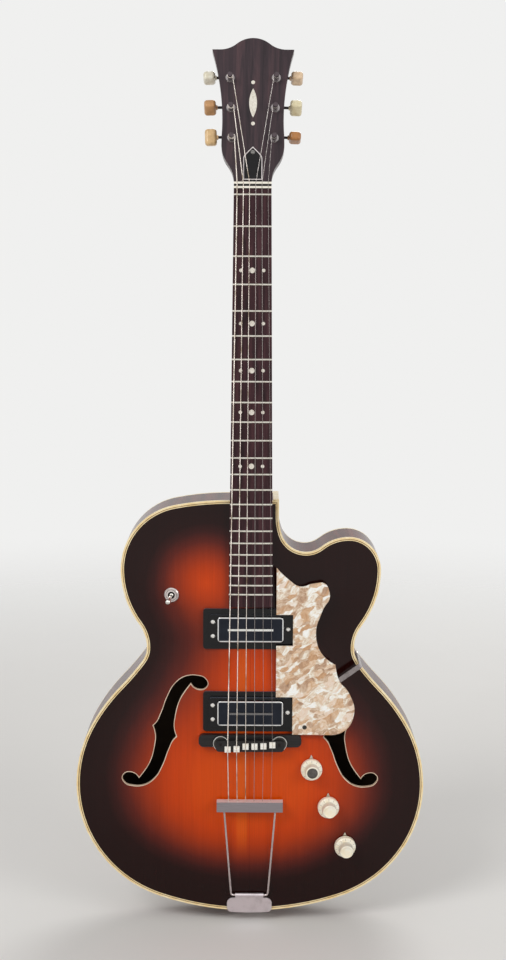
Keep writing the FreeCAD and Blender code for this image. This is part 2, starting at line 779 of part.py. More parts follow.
def ribs():
    ring = body_ring(0, RIB, FRONT + PLATE + GLUE, BACK - PLATE - GLUE)
    holes = [tenon(GLUE), jack_hole(JACK_BUSH_RADIUS + GLUE), pin_hole(PIN_SHANK_RADIUS + GLUE)]
    return ring.cut(holes + screw_holes("rim") + rib_seams()).Solids


def block_room():
    inner = prism(body_wire(RIB + GLUE), FRONT - ARCH_RISE, BACK + ARCH_RISE)
    return inner.common(BELOW_TOP).common(ABOVE_BACK)


def neck_block_box(grow):
    half = NECK_BLOCK_HALF_WIDTH + grow
    low = SHOULDER_HEIGHT - NECK_BLOCK_LENGTH - grow
    return box((-half, FRONT - DEEP, low), (half, DEEP, SHOULDER_HEIGHT))


def tail_block_box(grow):
    half = TAIL_BLOCK_HALF_WIDTH + grow
    return box((-half, FRONT - DEEP, -GRID_STEP), (half, DEEP, RIB + TAIL_BLOCK_LENGTH + grow))


def linings():
    inner = RIB + GLUE
    front = body_ring(inner, inner + LINING_WIDTH, FRONT + PLATE + GLUE, FRONT + PLATE + LINING_HEIGHT)
    back = front.mirror(ORIGIN, AXIS_Y)
    rooms = [neck_block_box(GLUE), tail_block_box(GLUE), jack_hole(JACK_FLANGE_RADIUS)] + screw_holes("rim")
    pieces = []
    for ring in (front, back):
        pieces += ring.cut(rooms).Solids
    return pieces


def blocks_and_tone_bars():
    room = block_room()
    neck_block = room.common(neck_block_box(0)).cut(tenon(GLUE))
    tail_block = room.common(tail_block_box(0)).cut([pin_hole(PIN_SHANK_RADIUS + GLUE)] + screw_holes("tail"))
    bar = box((TONE_BAR_REACH - TONE_BAR_WIDTH / 2, FRONT - DEEP, TONE_BAR_LOW),
              (TONE_BAR_REACH + TONE_BAR_WIDTH / 2, FRONT - TONE_BAR_RISE, TONE_BAR_HIGH))
    bars = [side.cut(screw_holes("top")) for side in both_sides(bar.common(BELOW_TOP))]
    return [neck_block, tail_block] + bars


# Neck

def board_half(z):
    share = (NUT_FRONT - z) / (NUT_FRONT - BOARD_END)
    return BOARD_HALF_AT_NUT + (BOARD_HALF_AT_END - BOARD_HALF_AT_NUT) * share


def neck_section(z, depth):
    half = board_half(z)
    count = 12
    angles = [math.pi * i / count for i in range(count + 1)]
    top = BOARD_FLOOR + GLUE
    points = [Vector(half * math.cos(angle), top + depth * math.sin(angle), z) for angle in angles]
    curve = Part.BSplineCurve()
    curve.interpolate(points)
    return Part.Wire([curve.toShape(), Part.LineSegment(points[-1], points[0]).toShape()])


def neck_shaft():
    heel_full = BACK - HEEL_SHORT - BOARD_FLOOR
    sections = []
    for step in range(HEEL_SECTIONS + 1):
        share = step / HEEL_SECTIONS
        depth = SHAFT_DEPTH_HEEL + (heel_full - SHAFT_DEPTH_HEEL) * (1 - share) ** HEEL_SWEEP
        sections.append(neck_section(SHOULDER_HEIGHT - HEEL_OVERLAP + HEEL_LENGTH * share, depth))
    heel = Part.makeLoft(sections, True, False)
    end = neck_section(NUT_REAR + HEAD_THICK, SHAFT_DEPTH_NUT)
    return heel.fuse(Part.makeLoft([sections[-1], end], True, True))


def head_wire(start, shrink=0.0):
    half = BOARD_HALF_AT_NUT - shrink
    side = chain([(half, start, 90, 1), (HEAD_LOWER_HALF - shrink, HEAD_LOWER_AT, 90, 1),
                  (HEAD_WAIST_HALF - shrink, HEAD_WAIST_AT, 90, 1)])
    corner = (HEAD_TOP_HALF - shrink, HEAD_TOP_AT)
    waist = Vector(HEAD_WAIST_HALF - shrink, 0, HEAD_WAIST_AT)
    top = Vector(corner[0], 0, corner[1])
    chord = (top - waist).normalize()
    flare = chord * (2 * chord.z) - AXIS_Z
    side += biarc(waist, AXIS_Z, top, flare)
    crown = chain([(HEAD_CROWN_HALF, HEAD_TOP_AT, 180, 1), (0, HEAD_CROWN_AT, 180, 1)])
    right = [span_edge(span) for span in side] + [line(corner, (HEAD_CROWN_HALF, HEAD_TOP_AT))]
    right += [span_edge(span) for span in crown]
    left = [edge.mirror(ORIGIN, AXIS_X) for edge in right]
    return wire_of(right + left + [line((-half, start), (half, start))])


def post_place(index):
    return Vector(POST_FIRST_REACH + POST_SPREAD * index, 0, POST_FIRST_AT + POST_PITCH * index)


TUNER_TURN = Rotation(AXIS_Y, math.degrees(math.atan2(POST_SPREAD, POST_PITCH)))


def tuner_place(index):
    return Placement(post_place(index), TUNER_TURN)


def head_holes(radius):
    holes = []
    for index in range(3):
        hole = Part.makeCylinder(radius, DEEP, Vector(0, -DEEP / 2, 0), AXIS_Y)
        holes += both_sides(moved(hole, tuner_place(index)))
    return holes


def truss_channel():
    floor = BOARD_FLOOR + TRUSS_DEPTH
    return box((-TRUSS_CHANNEL / 2, BOARD_TOP - TRUSS_DEPTH, SHOULDER_HEIGHT + RIB),
               (TRUSS_CHANNEL / 2, floor, NUT_REAR + TRUSS_POCKET))


def tongue():
    block = box((-TONGUE_HALF_WIDTH, BOARD_FLOOR + GLUE, SHOULDER_HEIGHT - TONGUE_LENGTH),
                (TONGUE_HALF_WIDTH, BACK / 2, SHOULDER_HEIGHT + RIB))
    return moved(block, NECK_PLACE).common(ABOVE_TOP)


def neck():
    head_front = box((-DEEP, -DEEP, 0), (DEEP, VENEER + GLUE, DEEP))
    shaft = moved(neck_shaft(), NECK_PLACE).cut(moved(head_front, HEAD_PLACE))
    seat = box((-DEEP, -DEEP, 0), (DEEP, DEEP, SHOULDER_HEIGHT + GLUE))
    head = moved(prism(head_wire(0), VENEER + GLUE, VENEER + GLUE + HEAD_THICK), HEAD_PLACE)
    body = shaft.cut(seat).fuse([head, tenon(0), tongue()]).removeSplitter()
    holes = [moved(hole, HEAD_PLACE) for hole in head_holes(BUSH_RADIUS + GLUE)]
    holes += [moved(truss_channel(), NECK_PLACE), moved(nut_seat(), NECK_PLACE)]
    return [body.cut(holes + screw_holes("head"))]


def camber(radius):
    start = Vector(0, CAMBER_AXIS, BOARD_END - DEEP / 2)
    return Part.makeCylinder(radius, SCALE_LENGTH + DEEP, start, AXIS_Z)


def fret_height(number):
    return ZERO_FRET - SCALE_LENGTH * (1 - 2 ** (-number / 12))


def dot_places():
    places = []
    for number in DOT_FRETS:
        z = (fret_height(number) + fret_height(number - 1)) / 2
        places.append((0, z, DOT_RADIUS))
        places += [(side * DOT_SIDE_REACH, z, DOT_SIDE_RADIUS) for side in (-1, 1)]
    return places


def dot_plugs(grow):
    start = BOARD_TOP - BOARD_THICK
    fall = CAMBER_RADIUS - math.sqrt(CAMBER_RADIUS ** 2 - DOT_SIDE_REACH ** 2)
    depth = BOARD_THICK + DOT_DEPTH + fall + grow
    return [Part.makeCylinder(radius + grow, depth, Vector(x, start, z), AXIS_Y)
            for x, z, radius in dot_places()]


def fingerboard():
    foot = board_half(BOARD_END)
    head = board_half(NUT_FRONT)
    top = NUT_FRONT - GLUE
    corners = [(-foot, BOARD_END), (foot, BOARD_END), (head, top), (-head, top), (-foot, BOARD_END)]
    plan = wire_of([line(a, b) for a, b in zip(corners, corners[1:])])
    board = prism(plan, BOARD_TOP, BOARD_FLOOR).common(camber(CAMBER_RADIUS)).cut(dot_plugs(GLUE / 2))
    return [moved(board, NECK_PLACE)]


def fret(number):
    z = fret_height(number)
    height = FRET_HEIGHT if number else ZERO_FRET_HEIGHT
    foot = BOARD_TOP - GLUE / 2
    left = Vector(0, foot, z - FRET_WIDTH / 2)
    right = Vector(0, foot, z + FRET_WIDTH / 2)
    crown = Part.Arc(left, Vector(0, BOARD_TOP - height, z), right).toShape()
    face = Part.Face(Part.Wire([crown, Part.LineSegment(right, left).toShape()]))
    axis = Vector(0, CAMBER_AXIS, z)
    half_turn = math.degrees(math.asin((board_half(z) - GLUE) / CAMBER_RADIUS))
    face.rotate(axis, AXIS_Z, -half_turn)
    return moved(face.revolve(axis, AXIS_Z, 2 * half_turn), NECK_PLACE)


def head_inlays(grow):
    low = Vector(0, 0, INLAY_AT - INLAY_HALF_LENGTH - grow)
    high = Vector(0, 0, INLAY_AT + INLAY_HALF_LENGTH + grow)
    reach = INLAY_HALF_WIDTH + grow
    lens = [Part.Arc(low, Vector(side * reach, 0, INLAY_AT), high).toShape() for side in (-1, 1)]
    pieces = [prism(wire_of(lens), 0, INLAY_DEPTH + grow)]
    for reach in (-INLAY_DOT_REACH, INLAY_DOT_REACH):
        place = Vector(0, 0, INLAY_AT + reach)
        pieces.append(Part.makeCylinder(INLAY_DOT_RADIUS + grow, INLAY_DEPTH + grow, place, AXIS_Y))
    return pieces


def pearl_inlays():
    dots = [moved(plug.common(camber(CAMBER_RADIUS)), NECK_PLACE) for plug in dot_plugs(0)]
    return dots + [moved(piece, HEAD_PLACE) for piece in head_inlays(0)]


def head_veneer():
    start = GLUE + VENEER * math.tan(math.radians(HEAD_ANGLE))
    sheet = prism(head_wire(start), 0, VENEER).cut(head_holes(BUSH_RADIUS + GLUE) + head_inlays(GLUE / 2))
    pocket = moved(truss_channel(), HEAD_SEAT.inverse())
    return [moved(sheet.cut(pocket), HEAD_PLACE).cut(screw_holes("head"))]


def truss_rod():
    middle = BOARD_FLOOR + TRUSS_DEPTH - TRUSS_RADIUS - GLUE
    start = Vector(0, middle, SHOULDER_HEIGHT + 2 * RIB)
    end = Vector(0, middle, NUT_REAR + TRUSS_POCKET - GLUE)
    return [moved(rod(start, end, TRUSS_RADIUS), NECK_PLACE)]


def cover_outline():
    half = COVER_HALF_WIDTH
    low = COVER_START
    shoulder = COVER_START + COVER_LENGTH * COVER_SPRING_SHARE
    tip = COVER_START + COVER_LENGTH
    right = chain([(half, shoulder, 90, COVER_FULLNESS), (0, tip, COVER_POINT, 1)])
    edges = [line((half, low), (half, shoulder))] + [span_edge(span) for span in right]
    other_side = [edge.mirror(ORIGIN, AXIS_X) for edge in edges]
    return wire_of(edges + other_side + [line((-half, low), (half, low))])


def truss_rod_cover():
    plate = prism(cover_outline(), -COVER_THICK, -GLUE)
    return [moved(plate, HEAD_PLACE).cut(screw_holes("head"))]


def nut_seat():
    return box((-DEEP, -DEEP, NUT_FRONT - GLUE), (DEEP, BOARD_FLOOR + GLUE, NUT_REAR + GLUE))


def nut():
    foot = BOARD_FLOOR
    half = BOARD_HALF_AT_NUT
    block = box((-half, BOARD_TOP - NUT_RISE, NUT_FRONT), (half, foot, NUT_REAR))
    block = block.common(camber(CAMBER_RADIUS + NUT_RISE))
    middle = (NUT_FRONT + NUT_REAR) / 2
    groove = box((-half, BOARD_TOP - 2 * NUT_RISE, middle - NUT_GROOVE / 2),
                 (half, BOARD_TOP, middle + NUT_GROOVE / 2))
    body = moved(block.cut(groove), NECK_PLACE)
    slots = []
    for index in range(6):
        places = string_points(index)
        radius = STRING_DIAMETERS[index] / 2 + STRING_GAP
        for start, end in ((places[0], places[1]), (places[1], places[2])):
            slots += [open_slot(start, end, radius), Part.makeSphere(radius + STRING_GAP / 2, end)]
    for slot in slots:
        body = body.cut(slot)
    return [body]


# Tuners: built for the treble side in the headstock's own frame, mirrored for the bass side

def tuner_number(index, side):
    return 1 + index if side < 0 else 6 - index


def placed_tuner(shape, index, side):
    piece = moved(shape, tuner_place(index))
    if side < 0:
        piece = mirrored(piece)
    return moved(piece, HEAD_PLACE)


def gear():
    count = GEAR_TEETH * 8
    points = []
    for i in range(count):
        angle = 2 * math.pi * i / count
        radius = GEAR_PITCH_RADIUS - GEAR_TOOTH * math.cos(GEAR_TEETH * angle)
        points.append(Vector(radius * math.sin(angle), 0, radius * math.cos(angle)))
    curve = Part.BSplineCurve()
    curve.interpolate(points, True)
    disc = prism(Part.Wire(curve.toShape()), WORM_Y - GEAR_WIDTH / 2, WORM_Y + GEAR_WIDTH / 2)
    hub = turned([(0, PLATE_BACK + PART_GAP), (POST_RADIUS, PLATE_BACK + PART_GAP),
                  (POST_RADIUS, WORM_Y + GEAR_WIDTH), (0, WORM_Y + GEAR_WIDTH)])
    return disc.fuse(hub)


def wrap_turns(diameter):
    room = POST_OUT - POST_HEAD - WRAP_START - diameter
    return min(WRAP_TURNS, int(room / (diameter + WRAP_GAP)))


def string_wrap(diameter):
    radius = POST_WAIST_RADIUS + diameter / 2 + GLUE / 2
    pitch = diameter + WRAP_GAP
    quarter = math.pi / 2
    slope = pitch / (2 * math.pi)
    turns = wrap_turns(diameter)
    steps = turns * 4

    def point(step):
        angle = step * quarter
        level = -WRAP_START - diameter / 2 - slope * angle
        return Vector(radius * math.cos(angle), level, radius * math.sin(angle))

    def tangent(step):
        angle = step * quarter
        return Vector(-radius * math.sin(angle), -slope, radius * math.cos(angle)).normalize()

    edges = [Part.LineSegment(point(0) - tangent(0) * diameter, point(0)).toShape()]
    for step in range(steps):
        quarter_turn = biarc(point(step), tangent(step), point(step + 1), tangent(step + 1))
        edges += [span_edge(span) for span in quarter_turn]
    edges.append(Part.LineSegment(point(steps), point(steps) + tangent(steps) * diameter).toShape())
    path = Part.Wire(edges)
    samples = path.discretize(WRAP_SAMPLES * turns)
    apart = int(WRAP_SAMPLES * WRAP_LEAVE)
    gap = min((a - b).Length for i, a in enumerate(samples) for b in samples[i + apart:]) - diameter
    print("winding of", diameter, "mm string: least gap to itself", round(gap, 2))
    return tube(path, diameter / 2)


def tuner_post(diameter):
    foot = PLATE_BACK + 2 * PART_GAP
    waist_end = POST_OUT - POST_HEAD
    shaft = turned([(0, foot), (POST_RADIUS, foot), (POST_RADIUS, -WRAP_START + POST_EDGE),
                    (POST_WAIST_RADIUS, -WRAP_START), (POST_WAIST_RADIUS, -waist_end),
                    (POST_RADIUS, -waist_end - POST_EDGE), (POST_RADIUS, -POST_OUT + POST_EDGE),
                    (POST_RADIUS - POST_EDGE, -POST_OUT), (0, -POST_OUT)])
    return [shaft.fuse(gear()).removeSplitter(), string_wrap(diameter)]


def worm():
    sections = []
    steps = int(WORM_TURNS * WORM_STEPS)
    for step in range(steps + 1):
        x = WORM_LENGTH * (step / steps - 0.5)
        angle = 2 * math.pi * x / WORM_PITCH + math.pi
        middle = Vector(x, WORM_Y + GEAR_TOOTH * math.sin(angle), WORM_OFFSET + GEAR_TOOTH * math.cos(angle))
        sections.append(Part.Wire(Part.makeCircle(WORM_CORE_RADIUS, middle, AXIS_X)))
    thread = Part.makeLoft(sections, True, True)
    reach = BUTTON_REACH + BUTTON_LENGTH / 2 - BUTTON_ROUND
    shaft_start = Vector(-EAR_AT - EAR_THICK, WORM_Y, WORM_OFFSET)
    shaft = rod(shaft_start, Vector(reach, WORM_Y, WORM_OFFSET), SHAFT_RADIUS)
    collar_start = Vector(EAR_AT + EAR_THICK + EAR_GAP, WORM_Y, WORM_OFFSET)
    collar = rod(collar_start, collar_start + AXIS_X * EAR_THICK, COLLAR_RADIUS)
    return thread.fuse([shaft, collar])


def button(turn):
    half = BUTTON_LENGTH / 2
    block = box((-half, -BUTTON_THICK / 2, -BUTTON_WIDE / 2), (half, BUTTON_THICK / 2, BUTTON_WIDE / 2))
    block = block.makeFillet(BUTTON_ROUND, block.Edges)
    neck_start = Vector(-half - EAR_THICK, 0, 0)
    block = block.fuse(rod(neck_start, ORIGIN, COLLAR_RADIUS))
    bore = rod(neck_start - AXIS_X, Vector(half - BUTTON_ROUND + GLUE, 0, 0), SHAFT_RADIUS + GLUE / 2)
    block = block.cut(bore)
    block.rotate(ORIGIN, AXIS_X, turn)
    return at(block, BUTTON_REACH, WORM_Y, WORM_OFFSET)


def tuner_plates():
    middle = post_place(1)
    low = -POST_PITCH - TUNER_PLATE_END
    high = POST_PITCH + TUNER_PLATE_END
    front = PLATE_BACK - TUNER_PLATE
    half = TUNER_PLATE_WIDTH / 2
    strip = box((-half, front, low), (half, PLATE_BACK, high))
    corners = [e for e in strip.Edges if abs(e.tangentAt(e.FirstParameter).y) > 0.9]
    strip = strip.makeFillet(half / 2, corners)
    ears = []
    holes = []
    for index in (-1, 0, 1):
        z = POST_PITCH * index
        holes.append(Part.makeCylinder(POST_RADIUS + RUN, DEEP, Vector(0, -DEEP / 2, z), AXIS_Y))
        for x in (-EAR_AT - EAR_THICK, EAR_AT):
            axle = z + WORM_OFFSET
            ears.append(box((x, front, axle - EAR_HALF), (x + EAR_THICK, WORM_Y + EAR_HALF, axle + EAR_HALF)))
        start = Vector(-DEEP, WORM_Y, z + WORM_OFFSET)
        holes.append(rod(start, start + AXIS_X * (2 * DEEP), SHAFT_RADIUS + RUN))
    plate = moved(strip.fuse(ears).cut(holes), Placement(middle, TUNER_TURN))
    return [moved(piece, HEAD_PLACE).cut(screw_holes("head")) for piece in both_sides(plate)]


def tuner_bushings():
    bore = POST_RADIUS + RUN
    ring = turned([(bore, -BUSH_FLANGE), (BUSH_FLANGE_RADIUS - POST_EDGE, -BUSH_FLANGE),
                   (BUSH_FLANGE_RADIUS, -GLUE), (BUSH_RADIUS, -GLUE), (BUSH_RADIUS, BUSH_LENGTH),
                   (bore, BUSH_LENGTH)])
    return [placed_tuner(ring, index, side) for index in range(3) for side in (-1, 1)]


# Strings

def string_x(index, spread):
    return spread * (index / 5 - 0.5)


def saddle_point(index):
    x = string_x(index, STRING_SPREAD_BRIDGE)
    return Vector(x, FRONT - SADDLE_RISE + x * x / (2 * CAMBER_RADIUS), SCALE_FOOT + SADDLES_AHEAD[index])


def string_points(index):
    diameter = STRING_DIAMETERS[index]
    side = -1 if index < 3 else 1
    order = index if index < 3 else 5 - index
    post = post_place(order)
    wrap_radius = POST_WAIST_RADIUS + diameter / 2
    level = -WRAP_START - (diameter + WRAP_GAP) * wrap_turns(diameter) * WRAP_LEAVE
    target = HEAD_PLACE.multVec(Vector(side * (post.x - wrap_radius), level, post.z))
    x = string_x(index, STRING_SPREAD_NUT)
    dip = x * x / (2 * CAMBER_RADIUS)
    lift = diameter / 2 + STRING_GAP
    rest = NECK_PLACE.multVec(Vector(x, BOARD_TOP - ZERO_FRET_HEIGHT + dip - lift, ZERO_FRET))
    nut_rest = Vector(x, BOARD_TOP - NUT_RISE / 2 + dip - lift, NUT_REAR - NUT_GROOVE / 2)
    nut_place = NECK_PLACE.multVec(nut_rest)
    saddle = saddle_point(index) - AXIS_Y * lift
    hole_x = string_x(index, STRING_SPREAD_TAIL)
    hole = Vector(hole_x, FRONT - BAR_HOLE_RISE, BAR_TOP_HEIGHT)
    ball = hole + (hole - saddle).normalize() * (BAR_WALL + BALL_RADIUS + 2 * GLUE)
    clear = math.sqrt((POST_RADIUS + diameter + PART_GAP * 4) ** 2 - wrap_radius ** 2) + PART_GAP
    away = (nut_place - target).normalize()
    return [target + away * clear, nut_place, rest, saddle, ball]


def strings():
    pieces = []
    for index, diameter in enumerate(STRING_DIAMETERS):
        points = string_points(index)
        wire = tube(rounded_path(points, STRING_BENDS), diameter / 2)
        pieces.append(wire.fuse(Part.makeSphere(BALL_RADIUS, points[-1])))
    return pieces


# Bridge

def bridge_base():
    half = BRIDGE_WIDTH / 2
    top = FRONT - BRIDGE_BASE_RISE
    block = rounded_block(BRIDGE_HALF_LENGTH, half, top, BACK / 2, half * BRIDGE_END_ROUND)
    block = at(block, 0, 0, BRIDGE_HEIGHT).common(ABOVE_TOP)
    seats = [stud(side, STUD_RADIUS + GLUE / 2, GLUE) for side in (-1, 1)]
    return [block.cut(seats)]


def stud(side, radius, deeper=0.0):
    foot = Vector(side * STUD_REACH, FRONT - BRIDGE_BASE_RISE + STUD_SEAT + deeper, STUD_HEIGHT)
    top = Vector(side * STUD_REACH, FRONT - STUD_RISE, STUD_HEIGHT)
    return rod(foot, top, radius)


def bridge_studs():
    return [stud(side, STUD_RADIUS) for side in (-1, 1)]


def thumbwheel(side):
    bore = STUD_RADIUS + RUN
    top = -WHEEL_THICK
    edge = WHEEL_RADIUS - WHEEL_EDGE
    disc = turned([(bore, 0), (edge, 0), (WHEEL_RADIUS, -WHEEL_EDGE), (WHEEL_RADIUS, top + WHEEL_EDGE),
                   (edge, top), (bore, top)])
    return [at(disc, side * STUD_REACH, FRONT - WHEEL_TOP_RISE + WHEEL_THICK, STUD_HEIGHT)]


def bridge_top():
    half = BEAM_WIDTH / 2
    foot = FRONT - BEAM_RISE
    block = rounded_block(BEAM_HALF_LENGTH, half, foot - BEAM_THICK, foot, half * BEAM_END_ROUND)
    hole = Part.makeCylinder(STUD_RADIUS + RUN, DEEP, Vector(STUD_REACH, FRONT - DEEP, STUD_HEIGHT), AXIS_Y)
    return [at(block, 0, 0, BEAM_HEIGHT).cut(both_sides(hole))]


def open_slot(start, end, radius):
    side = AXIS_X * (radius - STRING_GAP / 4)
    mouth = Part.Face(Part.makePolygon([start - side, start + side, end + side, end - side, start - side]))
    return rod(start, end, radius).fuse(mouth.extrude(Vector(0, -SADDLE_SIDE, 0)))


def bridge_saddles():
    foot = FRONT - BEAM_RISE - BEAM_THICK - GLUE
    half = SADDLE_SIDE / 2
    pieces = []
    for index in range(6):
        seat = saddle_point(index)
        block = box((seat.x - half, seat.y, seat.z - half), (seat.x + half, foot, seat.z + half))
        crest = box((seat.x - half, seat.y - SADDLE_CREST, seat.z - SADDLE_CREST),
                    (seat.x + half, seat.y, seat.z + SADDLE_CREST))
        points = string_points(index)
        radius = STRING_DIAMETERS[index] / 2 + STRING_GAP
        slots = [open_slot(points[2], points[3], radius), open_slot(points[3], points[4], radius),
                 Part.makeSphere(radius + STRING_GAP / 2, points[3])]
        pieces.append(block.fuse(crest).removeSplitter().cut(slots))
    return pieces


# Tailpiece

def tailpiece_trapeze():
    face_y = FRONT - BAR_RISE
    low = BAR_TOP_HEIGHT - BAR_FACE
    front = box((-BAR_HALF_LENGTH, face_y, low), (BAR_HALF_LENGTH, face_y + BAR_WALL, BAR_TOP_HEIGHT))
    shelf = box((-BAR_HALF_LENGTH, face_y, BAR_TOP_HEIGHT - BAR_WALL),
                (BAR_HALF_LENGTH, face_y + BAR_DEPTH, BAR_TOP_HEIGHT))
    wire_y = face_y + BAR_WALL + WIRE_RADIUS
    hinge_y = FRONT - HINGE_RISE
    points = [Vector(-WIRE_TOP_REACH, wire_y, BAR_TOP_HEIGHT - BAR_WALL / 2),
              Vector(-WIRE_FOOT_REACH, hinge_y, HINGE_HEIGHT), Vector(WIRE_FOOT_REACH, hinge_y, HINGE_HEIGHT),
              Vector(WIRE_TOP_REACH, wire_y, BAR_TOP_HEIGHT - BAR_WALL / 2)]
    wire = tube(rounded_path(points, [WIRE_BEND, WIRE_BEND]), WIRE_RADIUS)
    holes = []
    for index in range(6):
        start, end = string_points(index)[3:5]
        holes.append(rod(start, end, STRING_DIAMETERS[index] / 2 + GLUE))
    bar = front.fuse([shelf, wire]).removeSplitter()
    return [bar.cut(holes)]


def tail_arc(grow):
    first = TREBLE_SPANS[0]
    arc = span_edge(first, -grow)
    return arc


def bracket_profile(inner, outer):
    near = [tail_arc(inner), tail_arc(inner).mirror(ORIGIN, AXIS_X)]
    far = [tail_arc(outer), tail_arc(outer).mirror(ORIGIN, AXIS_X)]
    ends = []
    for side in (0, 1):
        tips = [max(edge[side].Vertexes, key=lambda v: abs(v.X)).Point for edge in (near, far)]
        ends.append(Part.LineSegment(tips[0], tips[1]).toShape())
    return wire_of(near + far + ends)


def tailpiece_bracket():
    width = box((-FLANGE_HALF_WIDTH, FRONT - DEEP, -DEEP), (FLANGE_HALF_WIDTH, DEEP, DEEP))
    top_y = FRONT - BRACKET_RISE - BRACKET_THICK
    flange = prism(bracket_profile(GLUE, GLUE + BRACKET_THICK), top_y, BRACKET_BACK).common(width)
    low = -GLUE - BRACKET_THICK
    half = (BRACKET_TOP - low) / 2
    plate = rounded_block(BRACKET_HALF_WIDTH, half, top_y, top_y + BRACKET_THICK, BRACKET_ROUND)
    plate = at(plate, 0, 0, low + half)
    plate = plate.common(prism(body_wire(-GLUE - BRACKET_THICK), top_y - 1, 0))
    outer = WIRE_RADIUS + RUN + KNUCKLE_WALL
    start = Vector(-KNUCKLE_HALF_LENGTH, FRONT - HINGE_RISE, HINGE_HEIGHT)
    end = Vector(KNUCKLE_HALF_LENGTH, FRONT - HINGE_RISE, HINGE_HEIGHT)
    web = box((-KNUCKLE_HALF_LENGTH, top_y, BRACKET_TOP - BRACKET_THICK),
              (KNUCKLE_HALF_LENGTH, top_y + BRACKET_THICK, HINGE_HEIGHT))
    body = plate.fuse([flange, web, rod(start, end, outer)])
    bore = rod(start - AXIS_X, end + AXIS_X, WIRE_RADIUS + RUN)
    holes = [bore, pin_hole(PIN_SHANK_RADIUS + GLUE)] + screw_holes("tail")
    return [body.cut(holes).removeSplitter()]


def end_pin():
    seat = -GLUE - BRACKET_THICK - GLUE
    grip_end = seat - PIN_GRIP
    head_end = grip_end - PIN_HEAD
    profile = [(0, PIN_SHANK), (PIN_SHANK_RADIUS, PIN_SHANK), (PIN_SHANK_RADIUS, seat),
               (PIN_HEAD_RADIUS, seat), (PIN_HEAD_RADIUS, seat - PIN_EDGE), (PIN_RADIUS, seat - 2 * PIN_EDGE),
               (PIN_RADIUS, grip_end), (PIN_HEAD_RADIUS, grip_end - PIN_EDGE),
               (PIN_HEAD_RADIUS - PIN_EDGE, head_end), (0, head_end - PIN_EDGE)]
    pin = turned(profile)
    pin.rotate(ORIGIN, AXIS_X, 90)
    return [pin]


# Pickups

def pickup_ring(height, rise):
    flange_front = front_of(0, height) - FLANGE_RISE
    base = rounded_block(RING_HALF_LENGTH, RING_HALF_WIDTH, flange_front, BACK / 2, RING_ROUND)
    tier = rounded_block(TIER_HALF_LENGTH, TIER_HALF_WIDTH, FRONT - rise, BACK / 2, RING_ROUND)
    window = rounded_block(PICKUP_HALF_LENGTH + PICKUP_FIT, PICKUP_HALF_WIDTH + PICKUP_FIT, FRONT - DEEP,
                           BACK, PICKUP_ROUND)
    ring = at(base.fuse(tier).cut(window), 0, 0, height)
    return ring.common(ABOVE_TOP).cut(screw_holes("top"))


def pickup_cover(height, rise):
    front = FRONT - rise
    outer = rounded_block(PICKUP_HALF_LENGTH, PICKUP_HALF_WIDTH, front, front + PICKUP_DEPTH, PICKUP_ROUND)
    rims = [e for e in outer.Edges if abs(e.CenterOfMass.y - front) < 1e-6]
    outer = outer.makeFillet(PICKUP_WALL, rims)
    roof = front + PICKUP_RECESS + PICKUP_WALL
    inner = rounded_block(PICKUP_HALF_LENGTH - PICKUP_WALL, PICKUP_HALF_WIDTH - PICKUP_WALL, roof,
                          front + PICKUP_DEPTH + 1, PICKUP_ROUND - PICKUP_WALL)
    slot = box((-BLADE_HALF_LENGTH - GLUE, front - 1, -BLADE_HALF_WIDTH - GLUE),
               (BLADE_HALF_LENGTH + GLUE, roof + 1, BLADE_HALF_WIDTH + GLUE))
    recess = rounded_block(PICKUP_HALF_LENGTH - PICKUP_RIM, PICKUP_HALF_WIDTH - PICKUP_RIM, front - 1,
                           front + PICKUP_RECESS, PICKUP_ROUND - PICKUP_RIM)
    return at(outer.cut([inner, slot, recess]), 0, 0, height)


def pickup_coil(height, rise):
    front = FRONT - rise
    inset = PICKUP_WALL + GLUE
    coil = rounded_block(PICKUP_HALF_LENGTH - inset, PICKUP_HALF_WIDTH - inset, front + inset + PICKUP_RECESS,
                         front + PICKUP_DEPTH, PICKUP_ROUND - PICKUP_WALL)
    blade = box((-BLADE_HALF_LENGTH, front - BLADE_PROUD, -BLADE_HALF_WIDTH),
                (BLADE_HALF_LENGTH, front + PICKUP_DEPTH / 2, BLADE_HALF_WIDTH))
    return at(coil.fuse(blade), 0, 0, height)


# Pickguard

def guard_wire():
    top = (GUARD_EDGE, SCALE_FOOT + GUARD_TOP)
    fall = (GUARD_TOP - GUARD_STEP - GUARD_LOWER[0][1]) / GUARD_UPPER[-1][1]
    upper = [top] + [(x, top[1] - drop * fall) for x, drop in GUARD_UPPER]
    lower = [(x, SCALE_FOOT + z) for x, z in GUARD_LOWER]
    edges = [span_edge(span) for span in smooth(upper) + smooth(lower)]
    edges.append(line(upper[-1], lower[0]))
    inner = GUARD_EDGE
    outer = TIER_HALF_LENGTH + GUARD_CLEAR
    neck_z, bridge_z = PICKUP_HEIGHTS
    half = TIER_HALF_WIDTH + GUARD_CLEAR
    corners = [lower[-1], (outer, SCALE_FOOT + GUARD_FOOT), (outer, bridge_z + half),
               (inner, bridge_z + half), (inner, neck_z - half), (outer, neck_z - half),
               (outer, neck_z + half), (inner, neck_z + half), top]
    edges += [line(a, b) for a, b in zip(corners, corners[1:])]
    return wire_of(edges)


def pickguard():
    front = FRONT - GUARD_RISE
    plate = prism(guard_wire(), front, front + GUARD_THICK)
    rim = [e for e in plate.Edges if abs(e.BoundBox.YMax - front) < 1e-6]
    return [plate.makeChamfer(GUARD_BEVEL, rim).cut(screw_holes("guard"))]


